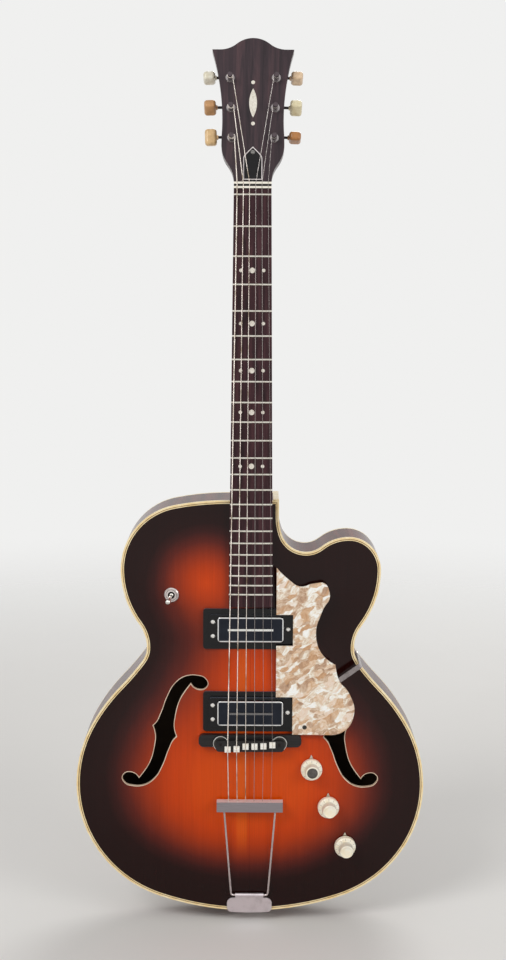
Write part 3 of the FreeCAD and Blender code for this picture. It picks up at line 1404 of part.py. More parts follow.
def pickguard_bracket():
    under = FRONT - GUARD_RISE + GUARD_THICK + GLUE
    half = STRAP_WIDTH / 2
    outer = STRAP_THICK + STRAP_CLEAR
    level = box((-STRAP_LENGTH, under, -half), (outer, under + STRAP_THICK, half))
    drop = box((outer - STRAP_THICK, under, -half), (outer, FRONT + STRAP_DROP, half))
    strap = level.fuse(drop).removeSplitter()
    bend = [e for e in strap.Edges if e.BoundBox.XMin > outer - 1e-6 and e.BoundBox.YMax < under + 1e-6]
    strap = strap.makeFillet(STRAP_THICK - GLUE, bend)
    outward = left_of(STRAP_ALONG) * -1
    turn = Rotation(AXIS_X, outward)
    strap = moved(strap, Placement(STRAP_SEAT, turn))
    foot_end = front_of(GUARD_FOOT_REACH, GUARD_FOOT_HEIGHT) + GUARD_FOOT_RADIUS
    foot_start = Vector(GUARD_FOOT_REACH, under, GUARD_FOOT_HEIGHT)
    foot = rod(foot_start, Vector(GUARD_FOOT_REACH, foot_end, GUARD_FOOT_HEIGHT), GUARD_FOOT_RADIUS)
    holes = screw_holes("rim") + screw_holes("guard")
    return [strap.cut(holes), foot.common(ABOVE_TOP).cut(holes)]


# Controls

def knob(number):
    bore = POT_SHAFT_RADIUS + GLUE / 2
    roof = -KNOB_HEIGHT + KNOB_DISH
    crown = roof + KNOB_CROWN
    skirt = KNOB_RADIUS - KNOB_EDGE
    top = KNOB_TOP_RADIUS - KNOB_EDGE / 2
    profile = [(bore, 0), (KNOB_RADIUS, 0), (KNOB_RADIUS, -KNOB_SKIRT + KNOB_EDGE), (skirt, -KNOB_SKIRT),
               (KNOB_TOP_RADIUS + KNOB_EDGE / 2, -KNOB_SKIRT - KNOB_EDGE / 4),
               (KNOB_TOP_RADIUS, -KNOB_HEIGHT + KNOB_EDGE / 2), (top, -KNOB_HEIGHT),
               (KNOB_DISH_RADIUS, -KNOB_HEIGHT), (KNOB_DISH_RADIUS, roof), (0, roof), (0, crown),
               (bore, crown)]
    room = Part.makeCylinder(KNOB_ROOM_RADIUS, KNOB_ROOM + 1, Vector(0, -KNOB_ROOM, 0), AXIS_Y)
    cap = at(turned(profile).cut(room), 0, -KNOB_LIFT, 0)
    start = Vector(0, -KNOB_LIFT + crown + GLUE, 0)
    end = Vector(0, POT_SEAT + POT_DEPTH - POT_FLOOR - PART_GAP, 0)
    place = surface_place(*KNOB_PLACES[number])
    return [moved(cap, place), moved(rod(start, end, POT_SHAFT_RADIUS), place)]


def pointer():
    foot = -PART_GAP
    plan = wire_of([line((-POINTER_HALF_WIDTH, 0), (POINTER_HALF_WIDTH, 0)),
                    line((POINTER_HALF_WIDTH, 0), (0, POINTER_REACH)),
                    line((0, POINTER_REACH), (-POINTER_HALF_WIDTH, 0))])
    washer = Part.makeCylinder(POT_BUSH_RADIUS + 2, POINTER_THICK, Vector(0, foot - POINTER_THICK, 0), AXIS_Y)
    return prism(plan, foot - POINTER_THICK, foot).fuse(washer)


def control_pot():
    bore = POT_SHAFT_RADIUS + RUN
    end = POT_SEAT + POT_DEPTH
    can = Part.makeCylinder(POT_RADIUS, POT_DEPTH, Vector(0, POT_SEAT, 0), AXIS_Y)
    bush = rod(Vector(0, -KNOB_LIFT - POT_BUSH_PROUD, 0), Vector(0, POT_SEAT, 0), POT_BUSH_RADIUS)
    nut_start = -PART_GAP - POINTER_THICK
    pot_nut = rod(Vector(0, nut_start - POT_NUT, 0), Vector(0, nut_start, 0), POT_NUT_RADIUS)
    room = rod(Vector(0, -DEEP, 0), Vector(0, end - POT_FLOOR, 0), bore)
    return can.fuse([bush, pot_nut, pointer()]).cut(room).removeSplitter()


def control_pots():
    return [moved(control_pot(), surface_place(x, z)) for x, z in KNOB_PLACES]


def lever_place():
    pivot = Placement(Vector(0, -SWITCH_NUT / 2, 0), Rotation(AXIS_Y, LEVER_TURN))
    return surface_place(SWITCH_REACH, SWITCH_HEIGHT).multiply(pivot)


def lever_pin(reach, radius):
    return rod(AXIS_X * -reach, AXIS_X * reach, radius)


def lever_room():
    length = SWITCH_NUT + LEVER_LENGTH
    spread = math.tan(math.radians(LEVER_TILT + LEVER_SPARE_TILT)) * length
    cone = Part.makeCone(LEVER_RADIUS + PART_GAP, LEVER_RADIUS + spread, length, ORIGIN, Vector(0, -1, 0))
    ball = Part.makeSphere(LEVER_PIVOT_RADIUS + PART_GAP)
    tail = Part.makeCylinder(LEVER_PIVOT_RADIUS + PART_GAP, SWITCH_NUT * 2, ORIGIN, AXIS_Y)
    return cone.fuse([ball, tail, lever_pin(LEVER_PIN_REACH + PART_GAP, LEVER_PIN_RADIUS + RUN)])


def switch_body():
    seat = PLATE + PART_GAP
    nut_ring = turned([(0, -GLUE), (SWITCH_NUT_RADIUS, -GLUE), (SWITCH_NUT_RADIUS, -SWITCH_NUT + SWITCH_EDGE),
                       (SWITCH_NUT_RADIUS - SWITCH_EDGE, -SWITCH_NUT), (0, -SWITCH_NUT)])
    bush = rod(Vector(0, -SWITCH_NUT, 0), Vector(0, seat + 1, 0), SWITCH_BUSH_RADIUS)
    width, length, depth = SWITCH_BODY
    case = box((-width / 2, seat, -length / 2), (width / 2, seat + depth, length / 2))
    whole = moved(bush.fuse([nut_ring, case]), surface_place(SWITCH_REACH, SWITCH_HEIGHT))
    return [whole.cut(moved(lever_room(), lever_place()))]


def switch_lever():
    tip = Part.makeSphere(LEVER_TIP_RADIUS, Vector(0, -LEVER_LENGTH, 0))
    end_radius = LEVER_TIP_RADIUS * LEVER_TIP_TAPER
    stem = Part.makeCone(LEVER_RADIUS, end_radius, LEVER_LENGTH, ORIGIN, Vector(0, -1, 0))
    pin = lever_pin(LEVER_PIN_REACH, LEVER_PIN_RADIUS)
    lever = stem.fuse([tip, Part.makeSphere(LEVER_PIVOT_RADIUS), pin])
    lever.rotate(ORIGIN, AXIS_X, LEVER_TILT)
    return [moved(lever, lever_place())]


def output_jack():
    outward = left_of(JACK_ALONG) * -1
    flange = [(JACK_BORE_RADIUS, -JACK_FLANGE - GLUE), (JACK_FLANGE_RADIUS - JACK_EDGE, -JACK_FLANGE - GLUE),
              (JACK_FLANGE_RADIUS, -GLUE - JACK_EDGE), (JACK_FLANGE_RADIUS, -GLUE), (JACK_BUSH_RADIUS, -GLUE),
              (JACK_BUSH_RADIUS, JACK_NECK), (JACK_BODY_RADIUS, JACK_NECK), (JACK_BODY_RADIUS, JACK_DEPTH),
              (0, JACK_DEPTH), (0, JACK_DEPTH - JACK_END), (JACK_BORE_RADIUS, JACK_DEPTH - JACK_END)]
    jack = turned(flange)
    turn = Rotation(Vector(0, -1, 0), outward)
    return [moved(jack, Placement(JACK_SEAT, turn))]


def wiring():
    room = FRONT + PLATE + LINING_HEIGHT
    can_end = Vector(0, POT_SEAT + POT_DEPTH + LEAD_RADIUS + GLUE, 0)
    cans = [surface_place(x, z).multVec(can_end) for x, z in KNOB_PLACES]
    coils = [Vector(PICKUP_HALF_LENGTH / 2, FRONT - rise + PICKUP_DEPTH + LEAD_RADIUS + GLUE, z)
             for z, rise in zip(PICKUP_HEIGHTS, COVER_RISES)]
    case_end = Vector(0, PLATE + PART_GAP + SWITCH_BODY[2] + LEAD_RADIUS + GLUE, 0)
    switch = surface_place(SWITCH_REACH, SWITCH_HEIGHT).multVec(case_end)
    inward = left_of(JACK_ALONG)
    jack = JACK_SEAT + inward * (JACK_DEPTH + GLUE)
    pieces = []
    for coil, can in zip(coils, cans):
        down = Vector(coil.x, room, coil.z - LEAD_STEP)
        route = [coil, down, Vector(can.x - LEAD_STEP, room, can.z), can - AXIS_X * (LEAD_STEP / 2)]
        pieces.append(tube(rounded_path(route, [LEAD_BEND, LEAD_BEND]), LEAD_RADIUS))
    floor = room + LEAD_STEP
    first = cans[0] + AXIS_X * (LEAD_STEP / 2)
    route = [switch, Vector(switch.x + 2 * LEAD_STEP, floor, switch.z - 3 * LEAD_STEP),
             Vector(0, floor, (switch.z + first.z) / 2), Vector(first.x - LEAD_STEP, floor, first.z), first]
    pieces.append(tube(rounded_path(route, [LEAD_BEND, LEAD_BEND, LEAD_BEND]), LEAD_RADIUS))
    route = [cans[2], cans[2] + Vector(LEAD_STEP / 2, LEAD_STEP, 0), jack + inward * LEAD_STEP, jack]
    pieces.append(tube(rounded_path(route, [LEAD_BEND, LEAD_BEND]), LEAD_RADIUS))
    return pieces


# Screws: a head at a place, a shank into what it holds, grouped by what their holes go through

def screw_list():
    down = Vector(0, 1, 0)
    screws = []
    for z, rise in zip(PICKUP_HEIGHTS, RING_RISES):
        for x, offset in RING_SCREWS:
            screws.append(("top", Vector(x, FRONT - rise - GLUE, z + offset), down, SCREW_LENGTH))
    under = FRONT - GUARD_RISE - GLUE
    foot = Vector(GUARD_FOOT_REACH, under, GUARD_FOOT_HEIGHT)
    screws.append(("guard", foot, down, GUARD_THICK + GUARD_SCREW_PAST))
    outward = left_of(STRAP_ALONG) * -1
    strap_face = STRAP_SEAT + outward * (STRAP_THICK + STRAP_CLEAR + GLUE)
    strap_face.y = FRONT + STRAP_DROP - STRAP_WIDTH / 2
    screws.append(("rim", strap_face, outward * -1, RIB + LINING_WIDTH))
    for x in (-TAIL_SCREW_SHARE, TAIL_SCREW_SHARE):
        seat = Vector(x * FLANGE_HALF_WIDTH, BRACKET_BACK / 2, 0)
        rise = tail_rise(seat.x)
        screws.append(("tail", seat + AXIS_Z * (rise - BRACKET_THICK - 4 * GLUE), AXIS_Z, SCREW_LENGTH + RIB))
    inward = HEAD_PLACE.Rotation.multVec(AXIS_Y)
    cover_screw = COVER_START + COVER_LENGTH * COVER_SCREW_SHARE
    cover_seat = HEAD_PLACE.multVec(Vector(0, -COVER_THICK - GLUE, cover_screw))
    screws.append(("head", cover_seat, inward, SCREW_LENGTH))
    for side in (-1, 1):
        for z in TUNER_SCREW_SHARES:
            local = tuner_place(1).multVec(Vector(0, PLATE_BACK + GLUE, z * POST_PITCH))
            local.x = local.x * side
            screws.append(("head", HEAD_PLACE.multVec(local), inward * -1, SCREW_LENGTH))
    return screws


def tail_rise(x):
    radius = span_edge(TREBLE_SPANS[0]).Curve.Radius
    return radius - math.sqrt(radius ** 2 - x * x)


def screw_holes(group):
    holes = []
    for name, seat, axis, length in screw_list():
        if name == group or (group == "rim" and name == "tail"):
            holes.append(rod(seat - axis, seat + axis * (length + GLUE), SCREW_RADIUS + GLUE))
    return holes


def screws():
    pieces = []
    for _, seat, axis, length in screw_list():
        dome = (SCREW_HEAD_RADIUS * SCREW_DOME[0], -SCREW_HEAD * SCREW_DOME[1])
        screw = turned([(0, -SCREW_HEAD), dome, (SCREW_HEAD_RADIUS, 0), (SCREW_RADIUS, 0),
                        (SCREW_RADIUS, length), (0, length)])
        slot = box((-SCREW_HEAD_RADIUS, -2 * SCREW_HEAD, -SCREW_SLOT / 2),
                   (SCREW_HEAD_RADIUS, -SCREW_HEAD * SCREW_SLOT_FLOOR, SCREW_SLOT / 2))
        pieces.append(moved(screw.cut(slot), Placement(seat, Rotation(AXIS_Y, axis))))
    return pieces


# Write every piece

def main():
    os.makedirs("parts", exist_ok=True)
    export("soundboard", soundboard())
    export("back_plate", back_plate())
    export("ribs", ribs())
    export("linings", linings())
    export("blocks_and_tone_bars", blocks_and_tone_bars())
    export("bindings", bindings())
    export("purfling", purfling())
    export("f_hole_bindings", f_hole_bindings())
    export("neck", neck())
    export("fingerboard", fingerboard())
    export("frets", [fret(number) for number in range(FRET_COUNT + 1)])
    export("nut", nut())
    export("pearl_inlays", pearl_inlays())
    export("head_veneer", head_veneer())
    export("truss_rod", truss_rod())
    export("truss_rod_cover", truss_rod_cover())
    export("tuner_plates", tuner_plates())
    export("tuner_bushings", tuner_bushings())
    worm_shape = worm()
    for side in (-1, 1):
        for index in range(3):
            number = tuner_number(index, side)
            diameter = STRING_DIAMETERS[number - 1]
            name = str(number)
            export("tuner_button_" + name, [placed_tuner(button(BUTTON_TURNS[number - 1]), index, side)])
            export("tuner_worm_" + name, [placed_tuner(worm_shape, index, side)])
            export("tuner_post_" + name, [placed_tuner(piece, index, side) for piece in tuner_post(diameter)])
    export("strings", strings())
    export("bridge_base", bridge_base())
    export("bridge_studs", bridge_studs())
    export("bridge_top", bridge_top())
    export("bridge_saddles", bridge_saddles())
    export("thumbwheel_bass", thumbwheel(-1))
    export("thumbwheel_treble", thumbwheel(1))
    export("tailpiece_bracket", tailpiece_bracket())
    export("tailpiece_trapeze", tailpiece_trapeze())
    export("end_pin", end_pin())
    export("pickup_rings", [pickup_ring(z, rise) for z, rise in zip(PICKUP_HEIGHTS, RING_RISES)])
    export("pickup_covers", [pickup_cover(z, rise) for z, rise in zip(PICKUP_HEIGHTS, COVER_RISES)])
    export("pickup_coils", [pickup_coil(z, rise) for z, rise in zip(PICKUP_HEIGHTS, COVER_RISES)])
    export("pickguard", pickguard())
    export("pickguard_bracket", pickguard_bracket())
    for number in range(3):
        export("knob_" + str(number + 1), knob(number))
    export("control_pots", control_pots())
    export("switch_body", switch_body())
    export("switch_lever", switch_lever())
    export("output_jack", output_jack())
    export("screws", screws())
    export("wiring", wiring())


main()
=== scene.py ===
import json
import math

import bpy
from mathutils import Matrix, Vector


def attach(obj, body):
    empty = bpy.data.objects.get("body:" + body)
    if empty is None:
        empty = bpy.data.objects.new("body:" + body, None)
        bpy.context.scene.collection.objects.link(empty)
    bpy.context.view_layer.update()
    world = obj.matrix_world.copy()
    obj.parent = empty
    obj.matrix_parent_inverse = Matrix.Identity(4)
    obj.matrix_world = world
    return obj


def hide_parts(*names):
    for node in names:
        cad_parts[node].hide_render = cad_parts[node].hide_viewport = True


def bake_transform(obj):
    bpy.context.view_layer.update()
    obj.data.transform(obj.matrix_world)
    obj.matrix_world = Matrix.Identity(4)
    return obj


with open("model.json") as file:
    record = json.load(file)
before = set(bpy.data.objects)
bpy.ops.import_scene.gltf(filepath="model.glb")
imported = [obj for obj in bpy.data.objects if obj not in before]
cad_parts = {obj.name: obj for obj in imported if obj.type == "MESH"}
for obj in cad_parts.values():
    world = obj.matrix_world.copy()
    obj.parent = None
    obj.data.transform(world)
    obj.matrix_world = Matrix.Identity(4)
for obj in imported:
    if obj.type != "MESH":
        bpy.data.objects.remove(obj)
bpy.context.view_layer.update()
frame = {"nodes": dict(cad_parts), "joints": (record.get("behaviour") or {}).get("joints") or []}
nodes = frame["nodes"]
joints = {joint["name"]: joint for joint in frame["joints"]}
print("frame loaded,", len(nodes), "nodes")


# Shader helpers

class Wire:
    # one shader socket, so that sums on it read as plain maths
    def __init__(self, finish, socket):
        self.finish = finish
        self.socket = socket

    def maths(self, operation, *terms):
        return self.finish.node("ShaderNodeMath", {"operation": operation}, dict(enumerate(terms)))

    def __add__(self, other):
        return self.maths("ADD", self, other)

    def __radd__(self, other):
        return self.maths("ADD", other, self)

    def __sub__(self, other):
        return self.maths("SUBTRACT", self, other)

    def __rsub__(self, other):
        return self.maths("SUBTRACT", other, self)

    def __mul__(self, other):
        return self.maths("MULTIPLY", self, other)

    def __rmul__(self, other):
        return self.maths("MULTIPLY", other, self)

    def __truediv__(self, other):
        return self.maths("DIVIDE", self, other)

    def __pow__(self, other):
        return self.maths("POWER", self, other)

    def __abs__(self):
        return self.maths("ABSOLUTE", self)

    def out(self, name):
        return Wire(self.finish, self.socket.node.outputs[name])


class Finish:
    # a material on the principled shader, with its fixed values set straight on the sockets
    def __init__(self, name, fixed):
        self.material = bpy.data.materials.new(name)
        self.material.use_nodes = True
        self.tree = self.material.node_tree
        self.shader = self.tree.nodes["Principled BSDF"]
        for socket, value in fixed.items():
            self.shader.inputs[socket].default_value = value

    def node(self, kind, settings, inputs, output=0):
        made = self.tree.nodes.new(kind)
        for name, value in settings.items():
            if name == "stops":
                while len(made.color_ramp.elements) < len(value):
                    made.color_ramp.elements.new(1.0)
                for element, (place, colour) in zip(made.color_ramp.elements, value):
                    element.position = place
                    element.color = colour
            else:
                setattr(made, name, value)
        for socket, value in inputs.items():
            if isinstance(value, Wire):
                self.tree.links.new(value.socket, made.inputs[socket])
            else:
                made.inputs[socket].default_value = value
        return Wire(self, made.outputs[output])

    def spot(self, centre=(0, 0, 0), turn=(0, 0, 0)):
        place = self.node("ShaderNodeTexCoord", {}, {}, "Object")
        return self.node("ShaderNodeMapping", {"vector_type": "TEXTURE"},
                         {"Vector": place, "Location": centre, "Rotation": turn})

    def facing(self):
        return self.axes(self.node("ShaderNodeTexCoord", {}, {}, "Normal"))

    def axes(self, vector):
        x = self.node("ShaderNodeSeparateXYZ", {}, {0: vector}, "X")
        return x, x.out("Y"), x.out("Z")

    def vector(self, x, y, z):
        return self.node("ShaderNodeCombineXYZ", {}, {0: x, 1: y, 2: z})

    def noise(self, vector, scale, detail=3.0, rough=0.5, warp=0.0):
        return self.node("ShaderNodeTexNoise", {}, {"Vector": vector, "Scale": scale, "Detail": detail,
                                                    "Roughness": rough, "Distortion": warp})

    def step(self, value, low, high):
        return self.node("ShaderNodeMapRange", {"interpolation_type": "SMOOTHSTEP"},
                         {"Value": value, "From Min": low, "From Max": high})

    def mix(self, mask, first, second):
        return self.node("ShaderNodeMix", {"data_type": "RGBA"}, {0: mask, 6: first, 7: second}, 2)

    def shade(self, colour, amount):
        start = colour if isinstance(colour, Wire) else colour[:3]
        return self.node("ShaderNodeVectorMath", {"operation": "SCALE"}, {0: start, "Scale": amount})

    def ramp(self, value, stops):
        return self.node("ShaderNodeValToRGB", {"stops": stops}, {0: value})

    def bump(self, height, distance, strength):
        return self.node("ShaderNodeBump", {},
                         {"Height": height, "Distance": distance, "Strength": strength})

    def give(self, wires):
        for socket, wire in wires.items():
            self.tree.links.new(wire.socket, self.shader.inputs[socket])


def tint(red, green, blue):
    # an sRGB colour as the linear one that a shader takes
    shares = [value / 255 for value in (red, green, blue)]
    linear = [share / 12.92 if share <= 0.04045 else ((share + 0.055) / 1.055) ** 2.4 for share in shares]
    return tuple(linear) + (1.0,)


def dress(finish, *names):
    for name in names:
        nodes[name].data.materials.clear()
        nodes[name].data.materials.append(finish.material)


def length(first, second):
    return (first * first + second * second) ** 0.5


# The head leans back; its posts have a waist that the strings wind on
head = {
    "base": Vector((0, -0.016615, 0.867755)), "across": Vector((1, 0, 0)),
    "inward": Vector((0, 0.976296, -0.216440)), "up": Vector((0, 0.216440, 0.976296)),
    "waist": 0.0025, "foot": 0.0045, "top": 0.0100, "gap": 0.0005,
}


# Lacquered woods

burst = {
    "lowerGlow": {"height": 0.1614, "wide": 0.1924, "down": 0.1360, "up": 0.1842},
    "middleGlow": {"height": 0.2943, "wide": 0.0896, "tall": 0.0885, "share": 0.684},
    "upperGlow": {"side": -0.0520, "height": 0.4060, "wide": 0.0847, "tall": 0.0840, "share": 0.578},
    "soften": 0.79,
    "stops": [(0.0, tint(31, 10, 8)), (0.10, tint(35, 11, 9)), (0.17, tint(56, 19, 16)),
              (0.25, tint(92, 30, 20)), (0.35, tint(142, 46, 18)), (0.45, tint(180, 57, 9)),
              (0.55, tint(200, 64, 5)), (0.70, tint(212, 73, 5)), (0.90, tint(208, 74, 7))],
    "rawSpruce": tint(74, 56, 38), "paleStrip": tint(226, 112, 26),
    "stripLeft": (-0.018, -0.013), "stripRight": (-0.0015, -0.005), "seam": (0.0005, 0.0001),
    "fine": 900.0, "broad": 95.0,
}


def burstDepth(x, z, side):
    low, middle, high = burst["lowerGlow"], burst["middleGlow"], burst["upperGlow"]
    rise = z - low["height"]
    below = rise.maths("MAXIMUM", rise * (-1 / low["down"]), rise / low["up"])
    lower = 1 - length(x / low["wide"], below)
    belt = (1 - length(x / middle["wide"], (z - middle["height"]) / middle["tall"])) * middle["share"]
    upper = (1 - length((x - side) / high["wide"], (z - high["height"]) / high["tall"])) * high["share"]
    body = lower.maths("SMOOTH_MAX", lower, belt, burst["soften"])
    return body.maths("SMOOTH_MAX", body, upper, burst["soften"])


def topFinish():
    finish = Finish("sunburstTop", {"Coat Weight": 0.12, "Coat Roughness": 0.12,
                                    "Specular IOR Level": 0.15})
    spot = finish.spot()
    x, y, z = finish.axes(spot)
    cloud = finish.noise(spot, 14.0, 3.0)
    depth = burstDepth(x, z, burst["upperGlow"]["side"]) + (cloud - 0.5) * 0.06
    colour = finish.ramp(depth, burst["stops"])
    halves = finish.vector(abs(x), 0.0, z * 0.012)  # the two halves of the top mirror each other
    fine = finish.noise(halves, burst["fine"], 2.0, 0.6)
    broad = finish.noise(halves, burst["broad"], 2.0)
    # a paler, yellower strip left of the seam
    strip = finish.step(x, *burst["stripLeft"]) * finish.step(x, *burst["stripRight"])
    seam = finish.step(abs(x), *burst["seam"])
    colour = finish.mix(strip * finish.step(depth, 0.30, 0.60) * 0.28, colour, burst["paleStrip"])
    colour = finish.shade(colour, 0.70 + fine * 0.36 + broad * 0.24 + strip * 0.04 - seam * 0.25)
    across, outward, up = finish.facing()
    inner = finish.step(outward, 0.15, 0.45)
    raw = finish.shade(burst["rawSpruce"], 0.75 + fine * 0.5)
    scuff = finish.noise(spot, 60.0, 5.0, 0.65)
    finish.give({"Base Color": finish.mix(inner, colour, raw),
                 "Roughness": 0.10 + finish.step(scuff, 0.5, 0.75) * 0.10 + inner * 0.5,
                 "Normal": finish.bump(fine, 0.00004, 0.25)})
    return finish


maple = {"dark": tint(50, 19, 18), "mid": tint(86, 35, 30), "light": tint(118, 54, 42),
         "raw": tint(66, 50, 34), "amber": tint(150, 74, 30), "edge": (0.020, 0.031),
         "backGlow": (0.06, 0.60), "backSeam": (0.0006, 0.0002)}


def ribFinish():
    finish = Finish("flamedSides", {"Specular IOR Level": 0.06})
    x, y, z = finish.axes(finish.spot())
    flame = finish.noise(finish.vector(x * 90, y * 7, z * 90), 1.0, 2.0, 0.5, 0.6)
    fibre = finish.noise(finish.vector(x * 30, y * 900, z * 30), 1.0, 3.0)
    colour = finish.ramp(flame * 0.8 + fibre * 0.2, [(0.30, maple["dark"]), (0.52, maple["mid"]),
                                                     (0.75, maple["light"])])
    edge = finish.step(abs(y), *maple["edge"])  # the spray is darker beside the bindings
    scuff = finish.noise(finish.spot(), 70.0, 4.0)
    finish.give({"Base Color": finish.mix(edge * 0.6, colour, maple["dark"]),
                 "Roughness": 0.12 + scuff * 0.10,
                 "Normal": finish.bump(fibre, 0.00003, 0.2)})
    return finish


def backFinish():
    finish = Finish("flamedBack", {"Coat Weight": 0.4, "Coat Roughness": 0.05,
                                   "Specular IOR Level": 0.3})
    spot = finish.spot()
    x, y, z = finish.axes(spot)
    depth = finish.step(burstDepth(x, z, 0.0), *maple["backGlow"])
    bars = finish.noise(finish.vector(abs(x) * 10, 0.0, z * 105 + abs(x) * 22), 1.0, 2.0, 0.5, 0.5)
    fibre = finish.noise(finish.vector(abs(x) * 700, 0.0, z * 9), 1.0, 3.0)
    colour = finish.ramp(depth, [(0.0, maple["dark"]), (0.35, maple["mid"]), (0.7, maple["light"]),
                                 (1.0, maple["amber"])])
    seam = finish.step(abs(x), *maple["backSeam"])
    colour = finish.shade(colour, 0.55 + bars * 0.65 + fibre * 0.25 - seam * 0.3)
    across, outward, up = finish.facing()
    inner = finish.step(outward, -0.15, -0.45)
    raw = finish.shade(maple["raw"], 0.7 + bars * 0.4 + fibre * 0.2)
    scuff = finish.noise(spot, 60.0, 4.0)
    finish.give({"Base Color": finish.mix(inner, colour, raw),
                 "Roughness": 0.12 + scuff * 0.12 + inner * 0.45,
                 "Normal": finish.bump(fibre, 0.00003, 0.2)})
    return finish


def innerWoodFinish():
    finish = Finish("rawLiningWood", {"Specular IOR Level": 0.2})
    x, y, z = finish.axes(finish.spot())
    fibre = finish.noise(finish.vector(x * 500, y * 500, z * 30), 1.0, 4.0)
    finish.give({"Base Color": finish.ramp(fibre, [(0.3, tint(58, 43, 30)), (0.7, tint(88, 68, 48))]),
                 "Roughness": 0.6 + fibre * 0.25,
                 "Normal": finish.bump(fibre, 0.0001, 0.3)})
    return finish


def neckFinish():
    finish = Finish("neckLacquer", {"Coat Weight": 0.10, "Coat Roughness": 0.12,
                                    "Specular IOR Level": 0.12})
    spot = finish.spot()
    x, y, z = finish.axes(spot)
    stripe = finish.noise(finish.vector(x * 160, y * 60, z * 5), 1.0, 3.0, 0.5, 0.4)
    pore = finish.noise(finish.vector(x * 1500, y * 1500, z * 60), 1.0, 2.0)
    colour = finish.ramp(stripe, [(0.25, tint(34, 15, 12)), (0.5, tint(58, 25, 18)),
                                  (0.75, tint(84, 38, 24))])
    wearAndSheen = finish.noise(spot, 25.0, 3.0)
    finish.give({"Base Color": finish.shade(colour, 0.75 + pore * 0.5),
                 "Roughness": 0.16 + wearAndSheen * 0.14,
                 "Normal": finish.bump(pore, 0.00004, 0.25)})
    return finish


board = {"dark": tint(28, 13, 15), "mid": tint(54, 29, 34), "light": tint(80, 48, 52)}


def rosewoodFinish():
    finish = Finish("rosewoodBoard", {"Specular IOR Level": 0.2})
    spot = finish.spot()
    x, y, z = finish.axes(spot)
    streak = finish.noise(finish.vector(x * 260, y * 260, z * 6), 1.0, 4.0, 0.6, 0.5)
    pore = finish.noise(finish.vector(x * 2200, y * 2200, z * 110), 1.0, 2.0)
    colour = finish.ramp(streak, [(0.28, board["dark"]), (0.5, board["mid"]), (0.74, board["light"])])
    dark = finish.step(pore, 0.62, 0.72)
    finish.give({"Base Color": finish.shade(colour, 1.0 - dark * 0.55),
                 "Roughness": 0.36 + streak * 0.2,
                 "Normal": finish.bump(1 - dark, 0.00008, 0.4)})
    return finish


def headFinish():
    finish = Finish("headVeneer", {"Coat Weight": 0.15, "Coat Roughness": 0.12,
                                   "Specular IOR Level": 0.3})
    spot = finish.spot()
    x, y, z = finish.axes(spot)
    streak = finish.noise(finish.vector(x * 150, y * 20, z * 9), 1.0, 4.0, 0.6, 0.8)
    pore = finish.noise(finish.vector(x * 1800, y * 200, z * 120), 1.0, 2.0)
    colour = finish.ramp(streak, [(0.28, tint(30, 20, 26)), (0.52, tint(53, 38, 44)),
                                  (0.76, tint(78, 54, 58))])
    finish.give({"Base Color": finish.shade(colour, 0.8 + pore * 0.4),
                 "Roughness": 0.24 + streak * 0.2,
                 "Normal": finish.bump(pore, 0.00005, 0.3)})
    return finish


def ebonyFinish():
    finish = Finish("blackBridgeWood", {"Specular IOR Level": 0.35})
    spot = finish.spot()
    x, y, z = finish.axes(spot)
    fibre = finish.noise(finish.vector(x * 25, y * 700, z * 700), 1.0, 3.0)
    finish.give({"Base Color": finish.ramp(fibre, [(0.3, tint(13, 12, 13)), (0.75, tint(38, 34, 34))]),
                 "Roughness": 0.30 + finish.noise(spot, 150.0) * 0.25,
                 "Normal": finish.bump(fibre, 0.00006, 0.35)})
    return finish


# Plastics, bone and pearl

def agedPlastic(name, low, high, rough, coat=0.2, mottle=90.0):
    finish = Finish(name, {"Coat Weight": coat, "Coat Roughness": 0.08, "Specular IOR Level": 0.4})
    spot = finish.spot()
    patch = finish.noise(spot, mottle, 4.0, 0.6)
    grime = finish.step(finish.noise(spot, mottle * 4, 3.0), 0.55, 0.8)
    colour = finish.mix(finish.step(patch, 0.32, 0.68), low, high)
    finish.give({"Base Color": finish.shade(colour, 1.0 - grime * 0.10),
                 "Roughness": rough + patch * 0.15,
                 "Normal": finish.bump(patch, 0.00006, 0.15)})
    return finish


def blackPlasticFinish():
    finish = Finish("blackPlastic", {"Coat Weight": 0.12, "Coat Roughness": 0.10,
                                     "Specular IOR Level": 0.25})
    spot = finish.spot()
    scuff = finish.noise(spot, 220.0, 5.0, 0.7)
    dust = finish.step(finish.noise(spot, 900.0, 2.0), 0.68, 0.8)
    across, outward, up = finish.facing()
    wearAndSheen = finish.step(up, 0.35, 0.8) * (0.45 + scuff * 0.5)  # painted highlight: upward-facing faces are painted a paler blue-grey, broken up by the scuff noise
    colour = finish.mix(dust * 0.2, tint(11, 11, 13), tint(60, 58, 56))
    finish.give({"Base Color": finish.mix(wearAndSheen, colour, tint(92, 98, 110)),
                 "Roughness": 0.16 + finish.step(scuff, 0.45, 0.8) * 0.25,
                 "Normal": finish.bump(scuff, 0.00003, 0.2)})
    return finish


def pearlFinish():
    finish = Finish("pearlDots", {"Coat Weight": 0.4, "Coat Roughness": 0.05})
    spot = finish.spot()
    swirl = finish.noise(spot, 260.0, 3.0, 0.5, 2.2)
    sheen = finish.noise(spot, 520.0, 2.0, 0.5, 1.0)
    colour = finish.ramp(swirl, [(0.25, tint(196, 184, 168)), (0.5, tint(232, 225, 212)),
                                 (0.75, tint(246, 240, 230))])
    green = finish.step(sheen, 0.55, 0.75) * 0.3
    finish.give({"Base Color": finish.mix(green, colour, tint(206, 222, 214)),
                 "Roughness": 0.14 + sheen * 0.12,
                 "Normal": finish.bump(swirl, 0.00008, 0.2)})
    return finish


guard = {"stops": [(0.22, tint(150, 116, 90)), (0.36, tint(194, 156, 126)), (0.47, tint(217, 190, 163)),
                   (0.56, tint(243, 232, 214)), (0.66, tint(255, 254, 250))],
         "amber": tint(218, 160, 100), "along": 95.0, "across": 190.0, "slant": 0.5,
         "sway": (0.012, 0.020)}


